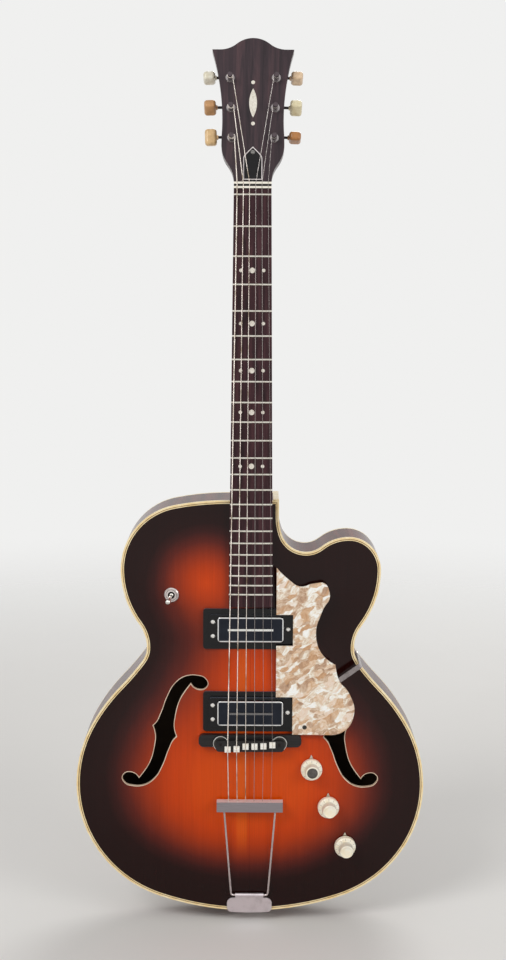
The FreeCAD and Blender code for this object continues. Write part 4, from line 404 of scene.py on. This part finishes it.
def guardFinish():
    finish = Finish("pearlGuard", {"Coat Weight": 0.3, "Coat Roughness": 0.08})
    spot = finish.spot()
    x, y, z = finish.axes(spot)
    sway = finish.noise(spot, 60.0, 2.0) - 0.5
    slant = finish.vector((x + z * guard["slant"] + sway * guard["sway"][0]) * guard["along"], y * 40,
                          (z - x * guard["slant"] + sway * guard["sway"][1]) * guard["across"])
    flake = finish.node("ShaderNodeTexVoronoi", {"feature": "SMOOTH_F1"},
                        {"Vector": slant, "Scale": 1.0, "Smoothness": 0.25}, "Color")
    shimmer, warmth = finish.axes(flake)[:2]
    streak = finish.noise(slant, 1.3, 2.0, 0.5, 1.6)
    cloud = finish.noise(spot, 120.0, 3.0, 0.5, 1.2)
    tone = shimmer * 0.30 + streak * 0.42 + cloud * 0.28
    warm = finish.step(warmth, 0.60, 0.80) * 0.40
    finish.give({"Base Color": finish.mix(warm, finish.ramp(tone, guard["stops"]), guard["amber"]),
                 "Roughness": 0.14 + cloud * 0.14,
                 "Normal": finish.bump(tone, 0.0002, 0.15)})
    return finish


# groove is the radius of a painted shade ring on the knob
knobs = {"shadeLow": tint(252, 240, 212), "shadeHigh": tint(255, 251, 236), "mark": tint(120, 112, 104),
         "marks": 11, "markIn": (0.0088, 0.0094), "markOut": (0.0122, 0.0117), "groove": 0.0083}


def knobFinish(number):
    joint = joints["knob_%d_turn" % number]
    lean = Vector((0, -1, 0)).rotation_difference(Vector(joint["axis"])).to_euler()
    finish = Finish("creamKnob%d" % number, {"Coat Weight": 0.3, "Coat Roughness": 0.08,
                                             "Specular IOR Level": 0.4})
    spot = finish.spot(joint["pos_m"], lean)
    x, y, z = finish.axes(spot)
    away = length(x, z)
    turn = x.maths("ARCTAN2", x, z)
    patch = finish.noise(spot, 130.0, 4.0, 0.6)
    colour = finish.mix(finish.step(patch, 0.3, 0.7), knobs["shadeLow"], knobs["shadeHigh"])
    ticks = turn.maths("COSINE", turn * knobs["marks"])
    band = finish.step(away, *knobs["markIn"]) * finish.step(away, *knobs["markOut"])
    colour = finish.mix(finish.step(ticks, 0.93, 0.98) * band * 0.55, colour, knobs["mark"])
    # painted shade: a thin ring at the groove is darkened
    groove = finish.step(abs(away - knobs["groove"]), 0.0007, 0.0002)
    finish.give({"Base Color": finish.shade(colour, 1.0 - groove * 0.22),
                 "Roughness": 0.24 + patch * 0.16,
                 "Normal": finish.bump(patch, 0.00006, 0.2)})
    return finish


coils = {"split": (0.30, 0.31), "neckFront": -0.0503, "bridgeFront": -0.0571, "tape": tint(30, 28, 27),
         "dullBlade": tint(120, 118, 118), "brightBlade": tint(236, 236, 232)}


def coilFinish():
    finish = Finish("coilAndBlade", {"Specular IOR Level": 0.4})
    spot = finish.spot()
    x, y, z = finish.axes(spot)
    neckEnd = finish.step(z, *coils["split"])
    front = coils["neckFront"] * neckEnd + coils["bridgeFront"] * (1 - neckEnd)
    blade = finish.step(y - front, 0.0001, -0.0001)  # the blades stand out of the covers
    tape = finish.noise(finish.vector(x * 200, y * 2500, z * 200), 1.0, 3.0)
    bright = finish.mix(neckEnd, coils["dullBlade"], coils["brightBlade"])
    finish.give({"Base Color": finish.mix(blade, finish.shade(coils["tape"], 0.6 + tape), bright),
                 "Metallic": blade * 0.85,
                 "Roughness": 0.55 - blade * 0.33 + tape * 0.1,
                 "Normal": finish.bump(tape, 0.0001, 0.3)})
    return finish


def leadFinish():
    finish = Finish("leadSleeve", {"Specular IOR Level": 0.3})
    spot = finish.spot()
    dust = finish.noise(spot, 240.0, 4.0)
    finish.give({"Base Color": finish.ramp(dust, [(0.3, tint(24, 23, 23)), (0.75, tint(58, 54, 50))]),
                 "Roughness": 0.5 + dust * 0.25,
                 "Normal": finish.bump(dust, 0.0001, 0.25)})
    return finish


# Metals

def metalFinish(name, bright, dull, rough, scale=120.0, brushed=None):
    finish = Finish(name, {"Metallic": 1.0})
    spot = finish.spot()
    tarnish = finish.noise(spot, scale, 5.0, 0.65)
    colour = finish.mix(finish.step(tarnish, 0.45, 0.8), bright, dull)
    fine = tarnish
    if brushed:
        x, y, z = finish.axes(spot)
        fine = finish.noise(finish.vector(x * brushed[0], y * brushed[1], z * brushed[2]), 1.0, 3.0)
    finish.give({"Base Color": colour,
                 "Roughness": rough + tarnish * 0.14,
                 "Normal": finish.bump(fine, 0.00003, 0.25)})
    return finish


# the face colour is a painted dark reflection on the chrome covers
covers = {"rim": tint(226, 226, 226), "face": tint(44, 47, 55), "places": (0.35251, 0.25351),
          "half": (0.0370, 0.0132)}


def coverFinish():
    finish = Finish("pickupCovers", {"Metallic": 1.0})
    spot = finish.spot()
    x, y, z = finish.axes(spot)
    upper, lower = (abs(z - place) for place in covers["places"])
    height = z.maths("MINIMUM", upper, lower)
    wide, tall = covers["half"]
    face = finish.step(abs(x), wide + 0.0002, wide) * finish.step(height, tall + 0.0002, tall)
    smear = finish.noise(spot, 45.0, 4.0, 0.6, 0.8)
    scratch = finish.noise(finish.vector(x * 60, y * 60, z * 1800), 1.0, 2.0)
    # painted reflection: the chrome face gets a dark blue-grey colour that stands in for the dark surroundings
    # it reflects, varied by the smear noise
    mirror = finish.shade(covers["face"], 0.65 + smear * 0.7)
    finish.give({"Base Color": finish.mix(face, covers["rim"], mirror),
                 "Roughness": 0.10 + smear * 0.12 + finish.step(scratch, 0.6, 0.8) * 0.12,
                 "Normal": finish.bump(scratch, 0.00002, 0.2)})
    return finish


# lip is the painted highlight colour for the top of the bar
trapeze = {"foot": (0.1315, 0.1322), "bright": tint(216, 204, 204), "dull": tint(176, 164, 162),
           "satin": tint(150, 143, 147), "lip": tint(226, 218, 218)}


def barFinish():
    finish = Finish("tailpieceNickel", {})
    spot = finish.spot()
    x, y, z = finish.axes(spot)
    across, outward, up = finish.facing()
    bar = finish.step(z, *trapeze["foot"])
    satin = bar * finish.step(outward, -0.6, -0.9)
    # painted highlight: the upward-facing lip of the bar is painted paler, made less metallic and rougher,
    # standing in for the light falling on its top
    lip = bar * finish.step(up, 0.3, 0.7)
    brush = finish.noise(finish.vector(x * 40, y * 900, z * 1500), 1.0, 3.0)
    tarnish = finish.noise(spot, 90.0, 5.0, 0.65)
    colour = finish.mix(finish.step(tarnish, 0.42, 0.8), trapeze["bright"], trapeze["dull"])
    colour = finish.mix(satin, colour, finish.shade(trapeze["satin"], 0.8 + brush * 0.4))
    finish.give({"Base Color": finish.mix(lip, colour, trapeze["lip"]),
                 "Metallic": 1.0 - lip * 0.75,
                 "Roughness": 0.16 + tarnish * 0.12 + satin * 0.24 + lip * 0.30,
                 "Normal": finish.bump(brush, 0.00004, 0.3)})
    return finish


# dark is the painted shade in the hole, and groove the radius of a painted shade ring
toggle = {"faces": Vector((-0.1297, -0.9911, -0.0294)), "hole": (0.0044, 0.0040), "groove": 0.0064,
          "bright": tint(222, 212, 209), "dull": tint(176, 164, 160), "dark": tint(22, 17, 16)}


def switchFinish():
    joint = joints["switch_throw"]
    lean = Vector((0, -1, 0)).rotation_difference(toggle["faces"]).to_euler()
    finish = Finish("switchNut", {"Metallic": 1.0})
    spot = finish.spot(joint["pos_m"], lean)
    x, y, z = finish.axes(spot)
    away = length(x, z)
    # painted shade: the hole round the lever is painted near black and the groove ring is darkened
    hole = finish.step(away, *toggle["hole"])
    groove = finish.step(abs(away - toggle["groove"]), 0.0006, 0.0002)
    tarnish = finish.noise(spot, 200.0, 4.0)
    colour = finish.mix(finish.step(tarnish, 0.42, 0.8), toggle["bright"], toggle["dull"])
    colour = finish.mix(hole, colour, toggle["dark"])
    finish.give({"Base Color": finish.shade(colour, 1.0 - groove * 0.6),
                 "Roughness": 0.18 + tarnish * 0.14 + hole * 0.3,
                 "Normal": finish.bump(tarnish, 0.00004, 0.25)})
    return finish


# the head's screws above the headScrewShade height get painted shade
screwTops = {"bright": tint(236, 234, 230), "dull": tint(190, 184, 176), "guardSide": (0.045, 0.050),
             "guardHeight": 0.24, "guardReach": (0.020, 0.015), "headScrewShade": (0.85, 0.86)}


def screwFinish():
    finish = Finish("brightScrews", {"Metallic": 1.0})
    spot = finish.spot()
    x, y, z = finish.axes(spot)
    tarnish = finish.noise(spot, 400.0, 5.0, 0.65)
    colour = finish.mix(finish.step(tarnish, 0.45, 0.8), screwTops["bright"], screwTops["dull"])
    level = abs(z - screwTops["guardHeight"])
    # the guard's own screw is darkened almost to black, and the head's screws are dimmed by painted shade
    black = finish.step(x, *screwTops["guardSide"]) * finish.step(level, *screwTops["guardReach"])
    headScrewShade = finish.step(z, *screwTops["headScrewShade"])
    finish.give({"Base Color": finish.shade(colour, 1.0 - black * 0.92 - headScrewShade * 0.65),
                 "Roughness": 0.16 + tarnish * 0.14,
                 "Normal": finish.bump(tarnish, 0.00003, 0.25)})
    return finish


# the flat colour is painted shade, duller than the lit rim
bushings = {"rim": tint(236, 234, 230), "shadedFlat": tint(172, 165, 166)}


def bushingFinish():
    finish = Finish("brightBushings", {"Metallic": 1.0})
    spot = finish.spot()
    tarnish = finish.noise(spot, 400.0, 5.0, 0.65)
    across, outward, up = finish.facing()
    lean = outward * head["inward"].y + up * head["inward"].z
    shadedFlat = finish.step(lean, -0.90, -0.97)  # painted shade: the flat round the post is painted duller than its rim, standing in for light that catches only the rim
    finish.give({"Base Color": finish.mix(shadedFlat, bushings["rim"], bushings["shadedFlat"]),
                 "Roughness": 0.16 + tarnish * 0.14,
                 "Normal": finish.bump(tarnish, 0.00003, 0.25)})
    return finish


# groove is the painted shadow colour in the nut's groove
nutStrips = {"grooveFoot": (0.8629, 0.8632), "grooveTop": (0.8658, 0.8655), "groove": tint(26, 20, 18),
             "low": tint(240, 230, 208), "high": tint(255, 252, 244)}


def nutFinish():
    finish = Finish("boneNut", {"Coat Weight": 0.1, "Coat Roughness": 0.1, "Specular IOR Level": 0.4})
    spot = finish.spot()
    x, y, z = finish.axes(spot)
    patch = finish.noise(spot, 200.0, 4.0)
    colour = finish.mix(patch, nutStrips["low"], nutStrips["high"])
    # painted shadow: the groove between the two strips is painted dark
    groove = finish.step(z, *nutStrips["grooveFoot"]) * finish.step(z, *nutStrips["grooveTop"])
    finish.give({"Base Color": finish.mix(groove, colour, nutStrips["groove"]),
                 "Roughness": 0.28 + patch * 0.15,
                 "Normal": finish.bump(patch, 0.00005, 0.15)})
    return finish


wheels = {"teeth": 60, "rim": (0.0080, 0.0084), "dark": tint(70, 68, 66), "bright": tint(204, 203, 198)}


def wheelFinish(name, joint):
    finish = Finish(name, {"Metallic": 1.0})
    x, y, z = finish.axes(finish.spot(joint["pos_m"]))
    away = length(x, z)
    turn = x.maths("ARCTAN2", x, z)
    teeth = turn.maths("SINE", turn * wheels["teeth"])
    rim = finish.step(away, *wheels["rim"])
    smear = finish.noise(finish.spot(), 300.0, 3.0)
    finish.give({"Base Color": finish.mix(rim, wheels["dark"], wheels["bright"]),
                 "Roughness": 0.22 + smear * 0.2,
                 "Normal": finish.bump(teeth * rim, 0.0002, 0.6)})
    return finish


def woundFinish(name, bright, pitch):
    finish = Finish(name, {"Metallic": 1.0})
    spot = finish.spot()
    x, y, z = finish.axes(spot)
    lay = z.maths("SINE", z * (2 * math.pi / pitch))
    grime = finish.noise(finish.vector(x * 100, y * 100, z * 60), 1.0, 3.0)
    colour = finish.mix(finish.step(grime, 0.45, 0.75), bright, tint(150, 132, 108))
    # painted shade: the colour dips with each turn of the winding, darker in the gaps between turns
    finish.give({"Base Color": finish.shade(colour, 0.92 + lay * 0.08),
                 "Roughness": 0.22 + grime * 0.15,
                 "Normal": finish.bump(lay, pitch * 0.25, 0.4)})
    return finish


topWood = topFinish()
cream = agedPlastic("creamBinding", tint(246, 216, 156), tint(255, 238, 194), 0.24)
nickel = metalFinish("polishedNickel", tint(214, 212, 206), tint(160, 154, 144), 0.12)
steel = metalFinish("plainSteel", tint(176, 175, 172), tint(120, 114, 106), 0.28)
postSteel = metalFinish("postSteel", tint(92, 82, 86), tint(54, 47, 50), 0.24, 300.0)
darkSteel = metalFinish("darkSteel", tint(52, 47, 47), tint(34, 30, 30), 0.30, 300.0)
greyNickel = metalFinish("greyNickel", tint(150, 142, 142), tint(112, 104, 102), 0.20)
fretWire = metalFinish("fretWire", tint(226, 222, 212), tint(182, 172, 156), 0.16, 260.0, (60, 60, 900))
blackPlastic = blackPlasticFinish()
dress(topWood, "soundboard")
dress(ribFinish(), "ribs")
dress(backFinish(), "back_plate")
dress(innerWoodFinish(), "linings", "blocks_and_tone_bars")
dress(neckFinish(), "neck")
dress(rosewoodFinish(), "fingerboard")
dress(headFinish(), "head_veneer")
dress(ebonyFinish(), "bridge_base", "bridge_top")
dress(cream, "bindings")
dress(agedPlastic("soundHoleEdge", tint(206, 178, 152), tint(236, 214, 190), 0.28, 0.1),
      "f_hole_bindings")
dress(agedPlastic("purflingLine", tint(126, 86, 42), tint(166, 122, 70), 0.3), "purfling")
dress(nutFinish(), "nut")
dress(agedPlastic("ivorySaddles", tint(244, 238, 226), tint(255, 253, 248), 0.3, 0.1, 200.0),
      "bridge_saddles")
dress(pearlFinish(), "pearl_inlays")
dress(guardFinish(), "pickguard")
dress(blackPlastic, "truss_rod_cover", "pickup_rings")
dress(coilFinish(), "pickup_coils")
dress(coverFinish(), "pickup_covers")
dress(leadFinish(), "wiring")
dress(barFinish(), "tailpiece_trapeze")
dress(fretWire, "frets")
dress(steel, "truss_rod")
dress(darkSteel, "bridge_studs")
dress(greyNickel, "pickguard_bracket")
dress(metalFinish("satinBracket", tint(224, 214, 218), tint(188, 178, 180), 0.30, 60.0, (60, 900, 900)),
      "tailpiece_bracket")
dress(bushingFinish(), "tuner_bushings")
dress(screwFinish(), "screws")
dress(switchFinish(), "switch_body")
dress(nickel, "tuner_plates", "end_pin", "switch_lever", "output_jack", "control_pots")
for side in ("bass", "treble"):
    knurled = wheelFinish("thumbwheel" + side.capitalize(), joints["thumbwheel_%s_turn" % side])
    dress(knurled, "thumbwheel_" + side)
for number in (1, 2, 3):
    dress(knobFinish(number), "knob_%d" % number)
buttonTints = {1: (244, 206, 152), 2: (216, 164, 112), 3: (255, 250, 232), 4: (244, 214, 180),
               5: (252, 242, 206), 6: (190, 130, 74)}
for number, (red, green, blue) in buttonTints.items():
    stained = tint(red * 0.9, green * 0.88, blue * 0.84)
    shell = agedPlastic("tunerButton%d" % number, stained, tint(red, green, blue), 0.22, 0.3, 160.0)
    dress(shell, "tuner_button_%d" % number)
    dress(darkSteel, "tuner_worm_%d" % number)
print("finishes on", len(nodes), "nodes")


# Modelling helpers

def only(piece):
    bpy.ops.object.select_all(action="DESELECT")
    piece.select_set(True)
    bpy.context.view_layer.objects.active = piece


def settle(piece, finish, angle=40):
    only(piece)
    bpy.ops.object.transform_apply(location=True, rotation=True, scale=True)
    bpy.ops.object.shade_smooth_by_angle(angle=math.radians(angle))
    piece.data.materials.clear()
    piece.data.materials.append(finish.material)


def ring(name, radius, place, sides, fill="NGON", turn=(0, 0, 0)):
    bpy.ops.object.select_all(action="DESELECT")
    bpy.ops.mesh.primitive_circle_add(vertices=sides, radius=radius, fill_type=fill, location=place,
                                      rotation=turn)
    piece = bpy.context.object
    piece.name = name
    piece.data.name = name
    return piece


def copyOf(node, name):
    piece = bpy.data.objects.new(name, nodes[node].data.copy())
    bpy.context.scene.collection.objects.link(piece)
    only(piece)
    bpy.ops.mesh.customdata_custom_splitnormals_clear()
    bpy.ops.object.mode_set(mode="EDIT")
    bpy.ops.mesh.select_all(action="SELECT")
    bpy.ops.mesh.remove_doubles(threshold=0.000002)
    bpy.ops.object.mode_set(mode="OBJECT")
    return piece


def pickFaces(piece, chosen):
    bpy.ops.object.mode_set(mode="EDIT")
    bpy.ops.mesh.select_mode(type="FACE")
    bpy.ops.mesh.select_all(action="DESELECT")
    bpy.ops.object.mode_set(mode="OBJECT")
    piece.data.polygons.foreach_set("select", chosen)
    bpy.ops.object.mode_set(mode="EDIT")


# Strings and their windings

strings = {
    1: {"width": 1.32, "turns": 2, "post": (-24.3, 51.3), "nut": (-17.7, -21.54, 866.75),
        "fret": (-17.7, -22.56, 853.88), "saddle": (-26.2, -63.59, 211.81), "ball": (-24.93, -55.54, 142.53)},
    2: {"width": 1.06, "turns": 2, "post": (-25.4, 86.3), "nut": (-10.62, -21.74, 866.76),
        "fret": (-10.62, -22.75, 853.89), "saddle": (-15.72, -64.18, 212.41), "ball": (-14.96, -55.51, 142.53)},
    3: {"width": 0.82, "turns": 3, "post": (-26.5, 121.3), "nut": (-3.54, -21.78, 866.76),
        "fret": (-3.54, -22.80, 853.90), "saddle": (-5.24, -64.42, 215.61), "ball": (-4.99, -55.52, 142.53)},
    4: {"width": 0.56, "turns": 3, "post": (26.5, 121.3), "nut": (3.54, -21.65, 866.75),
        "fret": (3.54, -22.67, 853.89), "saddle": (5.24, -64.29, 215.61), "ball": (4.99, -55.52, 142.53)},
    5: {"width": 0.43, "turns": 3, "post": (25.4, 86.3), "nut": (10.62, -21.42, 866.74),
        "fret": (10.62, -22.44, 853.88), "saddle": (15.72, -63.87, 216.01), "ball": (14.96, -55.55, 142.53)},
    6: {"width": 0.33, "turns": 3, "post": (24.3, 51.3), "nut": (17.7, -21.05, 866.72),
        "fret": (17.7, -22.06, 853.85), "saddle": (26.2, -63.10, 217.21), "ball": (24.93, -55.60, 142.52)},
}
# height and radius in mm
ballEnd = [(-2.0, 0.9), (-1.5, 1.6), (-0.6, 2.0), (0.6, 2.0), (1.5, 1.6), (1.9, 0.9)]


# share of the turns below the string, spacing over width, and the mesh's fineness
winding = {"below": 0.6, "spacing": 1.03, "sides": 12, "stepsPerTurn": 26, "lay": 0.00028}


def metres(point):
    return Vector(point) / 1000


def headPoint(across, inward, up):
    return head["base"] + head["across"] * across + head["inward"] * inward + head["up"] * up


def pull(name, stations, sides, finish):
    # a ring is drawn out from one station to the next, and narrowed or widened on the way
    piece = ring(name, stations[0][1], stations[0][0], sides)
    bpy.ops.object.mode_set(mode="EDIT")
    bpy.ops.mesh.select_all(action="SELECT")
    for (start, first), (end, second) in zip(stations, stations[1:]):
        bpy.ops.mesh.extrude_region_move(TRANSFORM_OT_translate={"value": end - start})
        if abs(second - first) > 1e-7:
            bpy.ops.transform.resize(value=(second / first, second / first, 1), center_override=end)
    bpy.ops.mesh.select_all(action="SELECT")
    bpy.ops.mesh.normals_make_consistent(inside=False)
    bpy.ops.object.mode_set(mode="OBJECT")
    settle(piece, finish)
    return piece


def stringLevel(wire):
    width = wire["width"] / 1000
    return head["foot"] + (width + head["gap"]) * wire["turns"] * winding["below"]


def windPost(number, wire, finish):
    width = wire["width"] / 1000
    inner = -1 if wire["post"][0] > 0 else 1
    reach = head["waist"] + width / 2
    level = stringLevel(wire)
    pitch = width * winding["spacing"]
    turns = max(wire["turns"], (head["top"] - width / 2 - level) / pitch)
    piece = ring("winding_%d" % number, width / 2, (inner * reach, 0, 0), winding["sides"], "NOTHING",
                 (math.pi / 2, 0, 0))
    bpy.ops.object.transform_apply(location=True, rotation=True, scale=True)
    screw = piece.modifiers.new("wind", "SCREW")
    screw.angle = inner * 2 * math.pi * turns
    screw.screw_offset = pitch * turns
    screw.iterations = 1
    screw.steps = screw.render_steps = round(turns * winding["stepsPerTurn"])
    bpy.ops.object.modifier_apply(modifier="wind")
    bpy.ops.object.mode_set(mode="EDIT")
    bpy.ops.mesh.select_all(action="SELECT")
    bpy.ops.mesh.fill_holes(sides=0)
    bpy.ops.mesh.select_all(action="SELECT")
    bpy.ops.mesh.normals_make_consistent(inside=False)
    bpy.ops.object.mode_set(mode="OBJECT")
    turned = Matrix((head["across"], head["up"], -head["inward"])).transposed().to_4x4()
    across, up = wire["post"]
    piece.matrix_world = Matrix.Translation(headPoint(across / 1000, -level, up / 1000)) @ turned
    settle(piece, finish)
    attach(piece, "tuner_post_%d" % number)


def barePost(number):
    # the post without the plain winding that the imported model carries
    piece = copyOf("tuner_post_%d" % number, "post_%d" % number)
    bpy.ops.object.mode_set(mode="EDIT")
    bpy.ops.mesh.separate(type="LOOSE")
    bpy.ops.object.mode_set(mode="OBJECT")
    parts = sorted(bpy.context.selected_objects, key=lambda part: part.dimensions.y)
    for spare in parts[:-1]:
        bpy.data.objects.remove(spare)
    post = parts[-1]
    post.name = "post_%d" % number
    settle(post, postSteel, 30)
    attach(post, "tuner_post_%d" % number)
    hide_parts("tuner_post_%d" % number)


plainString = metalFinish("plainString", tint(172, 166, 162), tint(130, 122, 116), 0.18, 60.0)
for number, wire in strings.items():
    radius = wire["width"] / 2000
    finish = plainString
    if number < 4:
        lay = wire["width"] * winding["lay"]
        finish = woundFinish("woundString%d" % number, tint(242, 232, 222), lay)
    across, up = (measure / 1000 for measure in wire["post"])
    side = 1 if across > 0 else -1
    start = headPoint(across - side * (head["waist"] + radius), -stringLevel(wire), up)
    nut, fret, saddle, ball = (metres(wire[name]) for name in ("nut", "fret", "saddle", "ball"))
    run = pull("string_%d" % number, [(point, radius) for point in (start, nut, fret, saddle)], 12, finish)
    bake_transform(run)
    stations = [(ball + Vector((0, 0, rise / 1000)), wide / 1000) for rise, wide in ballEnd]
    stations += [(ball + (saddle - ball) * 0.05, radius), (saddle, radius)]
    tail = pull("string_%d_tail" % number, stations, 12, finish)
    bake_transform(tail)
    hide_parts("strings")
    windPost(number, wire, finish)
    barePost(number)
print("strings pulled and wound on", len(strings), "posts")


# Small trim

coverLine = {"margin": 0.0003, "wide": 0.0010, "thick": 0.0001, "lift": 0.00003, "screwRoom": 0.0034,
             "screw": 0.0345, "facing": 0.99, "depth": 0.0001}


def trussLine():
    piece = copyOf("truss_rod_cover", "cover_line")
    outward = -head["inward"]
    front = max(vertex.co.dot(outward) for vertex in piece.data.vertices)
    lowest = front - coverLine["depth"]
    pickFaces(piece, [polygon.normal.dot(outward) < coverLine["facing"] or polygon.center.dot(outward) < lowest
                      for polygon in piece.data.polygons])
    bpy.ops.mesh.delete(type="FACE")
    bpy.ops.mesh.select_all(action="SELECT")
    bpy.ops.mesh.dissolve_limited(angle_limit=math.radians(1))
    bpy.ops.mesh.select_all(action="SELECT")
    bpy.ops.mesh.inset(thickness=coverLine["margin"], use_boundary=True)
    bpy.ops.mesh.select_all(action="INVERT")
    bpy.ops.mesh.delete(type="FACE")
    bpy.ops.mesh.select_all(action="SELECT")
    bpy.ops.mesh.inset(thickness=coverLine["wide"], use_boundary=True)
    bpy.ops.mesh.delete(type="FACE")
    bpy.ops.mesh.select_all(action="SELECT")
    bpy.ops.transform.translate(value=outward * coverLine["lift"])
    bpy.ops.object.mode_set(mode="OBJECT")
    screw = headPoint(0, 0, coverLine["screw"])
    pickFaces(piece, [(polygon.center - screw).length < coverLine["screwRoom"]
                      for polygon in piece.data.polygons])
    bpy.ops.mesh.delete(type="FACE")
    bpy.ops.object.mode_set(mode="OBJECT")
    wall = piece.modifiers.new("thickness", "SOLIDIFY")
    wall.thickness = coverLine["thick"]
    wall.offset = 1.0
    bpy.ops.object.modifier_apply(modifier="thickness")
    settle(piece, agedPlastic("coverEdge", tint(214, 204, 204), tint(240, 232, 230), 0.30, 0.1, 300.0))
    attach(piece, "guitar")


knobCap = {"radius": 0.0062, "thick": 0.0005, "dish": 0.0010, "sink": 0.0002, "lip": 0.0004, "rise": 0.0002,
           "slope": 0.0030, "dip": 0.00015}


def capKnob():
    joint = joints["knob_1_turn"]
    axis, seat = Vector(joint["axis"]), Vector(joint["pos_m"])
    top = max((vertex.co - seat).dot(axis) for vertex in nodes["knob_1"].data.vertices)
    floor = seat + axis * (top - knobCap["dish"] - knobCap["sink"])
    piece = ring("knob_1_cap", knobCap["radius"], (0, 0, 0), 48)
    bpy.ops.object.mode_set(mode="EDIT")
    bpy.ops.mesh.select_all(action="SELECT")
    bpy.ops.mesh.extrude_region_move(TRANSFORM_OT_translate={"value": (0, 0, knobCap["thick"])})
    bpy.ops.mesh.inset(thickness=knobCap["lip"])
    bpy.ops.transform.translate(value=(0, 0, knobCap["rise"]))
    bpy.ops.mesh.inset(thickness=knobCap["slope"])
    bpy.ops.transform.translate(value=(0, 0, -knobCap["dip"]))
    bpy.ops.mesh.select_all(action="SELECT")
    bpy.ops.mesh.normals_make_consistent(inside=False)
    bpy.ops.object.mode_set(mode="OBJECT")
    lean = Vector((0, 0, 1)).rotation_difference(axis).to_matrix().to_4x4()
    piece.matrix_world = Matrix.Translation(floor) @ lean
    settle(piece, agedPlastic("greyKnobCap", tint(70, 66, 62), tint(96, 91, 86), 0.35, 0.1, 300.0))
    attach(piece, "knob_1")


trussLine()
capKnob()
print("small trim done")


# Floor, light and camera

room = {"floor": -0.0142, "wide": 16.0, "pale": tint(232, 230, 227), "air": tint(240, 240, 239),
        "ambient": 0.42, "near": 0.8, "far": 2.6, "aim": 0.5}


def layFloor():
    bpy.ops.object.select_all(action="DESELECT")
    bpy.ops.mesh.primitive_plane_add(size=room["wide"], location=(0, 0, room["floor"]))
    floor = bpy.context.object
    floor.name = "floor"
    finish = Finish("paleFloor", {"Specular IOR Level": 0.2})
    spot = finish.spot()
    x, y, z = finish.axes(spot)
    mottle = finish.noise(spot, 3.0, 4.0)
    finish.give({"Base Color": finish.shade(room["pale"], 0.97 + mottle * 0.06),
                 "Roughness": 0.7 + mottle * 0.1,
                 "Alpha": finish.step(length(x, y), room["far"], room["near"])})
    floor.data.materials.append(finish.material)


def lightAir():
    world = bpy.data.worlds.new("studioAir")
    bpy.context.scene.world = world
    world.use_nodes = True
    tree = world.node_tree
    tree.nodes.clear()
    path = tree.nodes.new("ShaderNodeLightPath")
    seen = tree.nodes.new("ShaderNodeMath")
    seen.operation = "MAXIMUM"
    tree.links.new(path.outputs["Is Camera Ray"], seen.inputs[0])
    tree.links.new(path.outputs["Is Glossy Ray"], seen.inputs[1])
    through = tree.nodes.new("ShaderNodeMath")
    through.operation = "MAXIMUM"
    tree.links.new(seen.outputs[0], through.inputs[0])
    tree.links.new(path.outputs["Is Transmission Ray"], through.inputs[1])
    shown = tree.nodes.new("ShaderNodeBackground")
    lit = tree.nodes.new("ShaderNodeBackground")
    shown.inputs["Color"].default_value = lit.inputs["Color"].default_value = room["air"]
    shown.inputs["Strength"].default_value = 1.0
    lit.inputs["Strength"].default_value = room["ambient"]
    blend = tree.nodes.new("ShaderNodeMixShader")
    tree.links.new(through.outputs[0], blend.inputs[0])
    tree.links.new(lit.outputs[0], blend.inputs[1])
    tree.links.new(shown.outputs[0], blend.inputs[2])
    result = tree.nodes.new("ShaderNodeOutputWorld")
    tree.links.new(blend.outputs[0], result.inputs["Surface"])


lamps = {"keyLamp": {"place": (-1.7, -2.3, 2.5), "size": 1.6, "power": 46.0},
         "fillLamp": {"place": (2.0, -2.0, 1.5), "size": 1.8, "power": 26.0},
         "backLamp": {"place": (0.6, 2.0, 2.2), "size": 1.5, "power": 24.0}}


def hangLamps():
    for name, lamp in lamps.items():
        light = bpy.data.lights.new(name, "AREA")
        light.shape = "DISK"
        light.size = lamp["size"]
        light.energy = lamp["power"]
        holder = bpy.data.objects.new(name, light)
        bpy.context.scene.collection.objects.link(holder)
        holder.location = lamp["place"]
        toBody = Vector((0, 0, room["aim"])) - holder.location
        holder.rotation_euler = toBody.to_track_quat("-Z", "Y").to_euler()


shot = {"place": (0.002, -1.8519, 0.7988), "tilt": 8.5, "roll": 0.28, "lens": 59.4, "sensor": 36.0}


def setCamera():
    camera = bpy.data.cameras.new("camera")
    camera.lens = shot["lens"]
    camera.sensor_width = shot["sensor"]
    holder = bpy.data.objects.new("camera", camera)
    bpy.context.scene.collection.objects.link(holder)
    tilt = Matrix.Rotation(math.radians(90 - shot["tilt"]), 4, "X")
    roll = Matrix.Rotation(math.radians(shot["roll"]), 4, "Z")
    holder.matrix_world = Matrix.Translation(shot["place"]) @ tilt @ roll
    bpy.context.scene.camera = holder


layFloor()
lightAir()
hangLamps()
setCamera()
bpy.context.scene.view_settings.view_transform = "Standard"
print("floor, light and camera set")
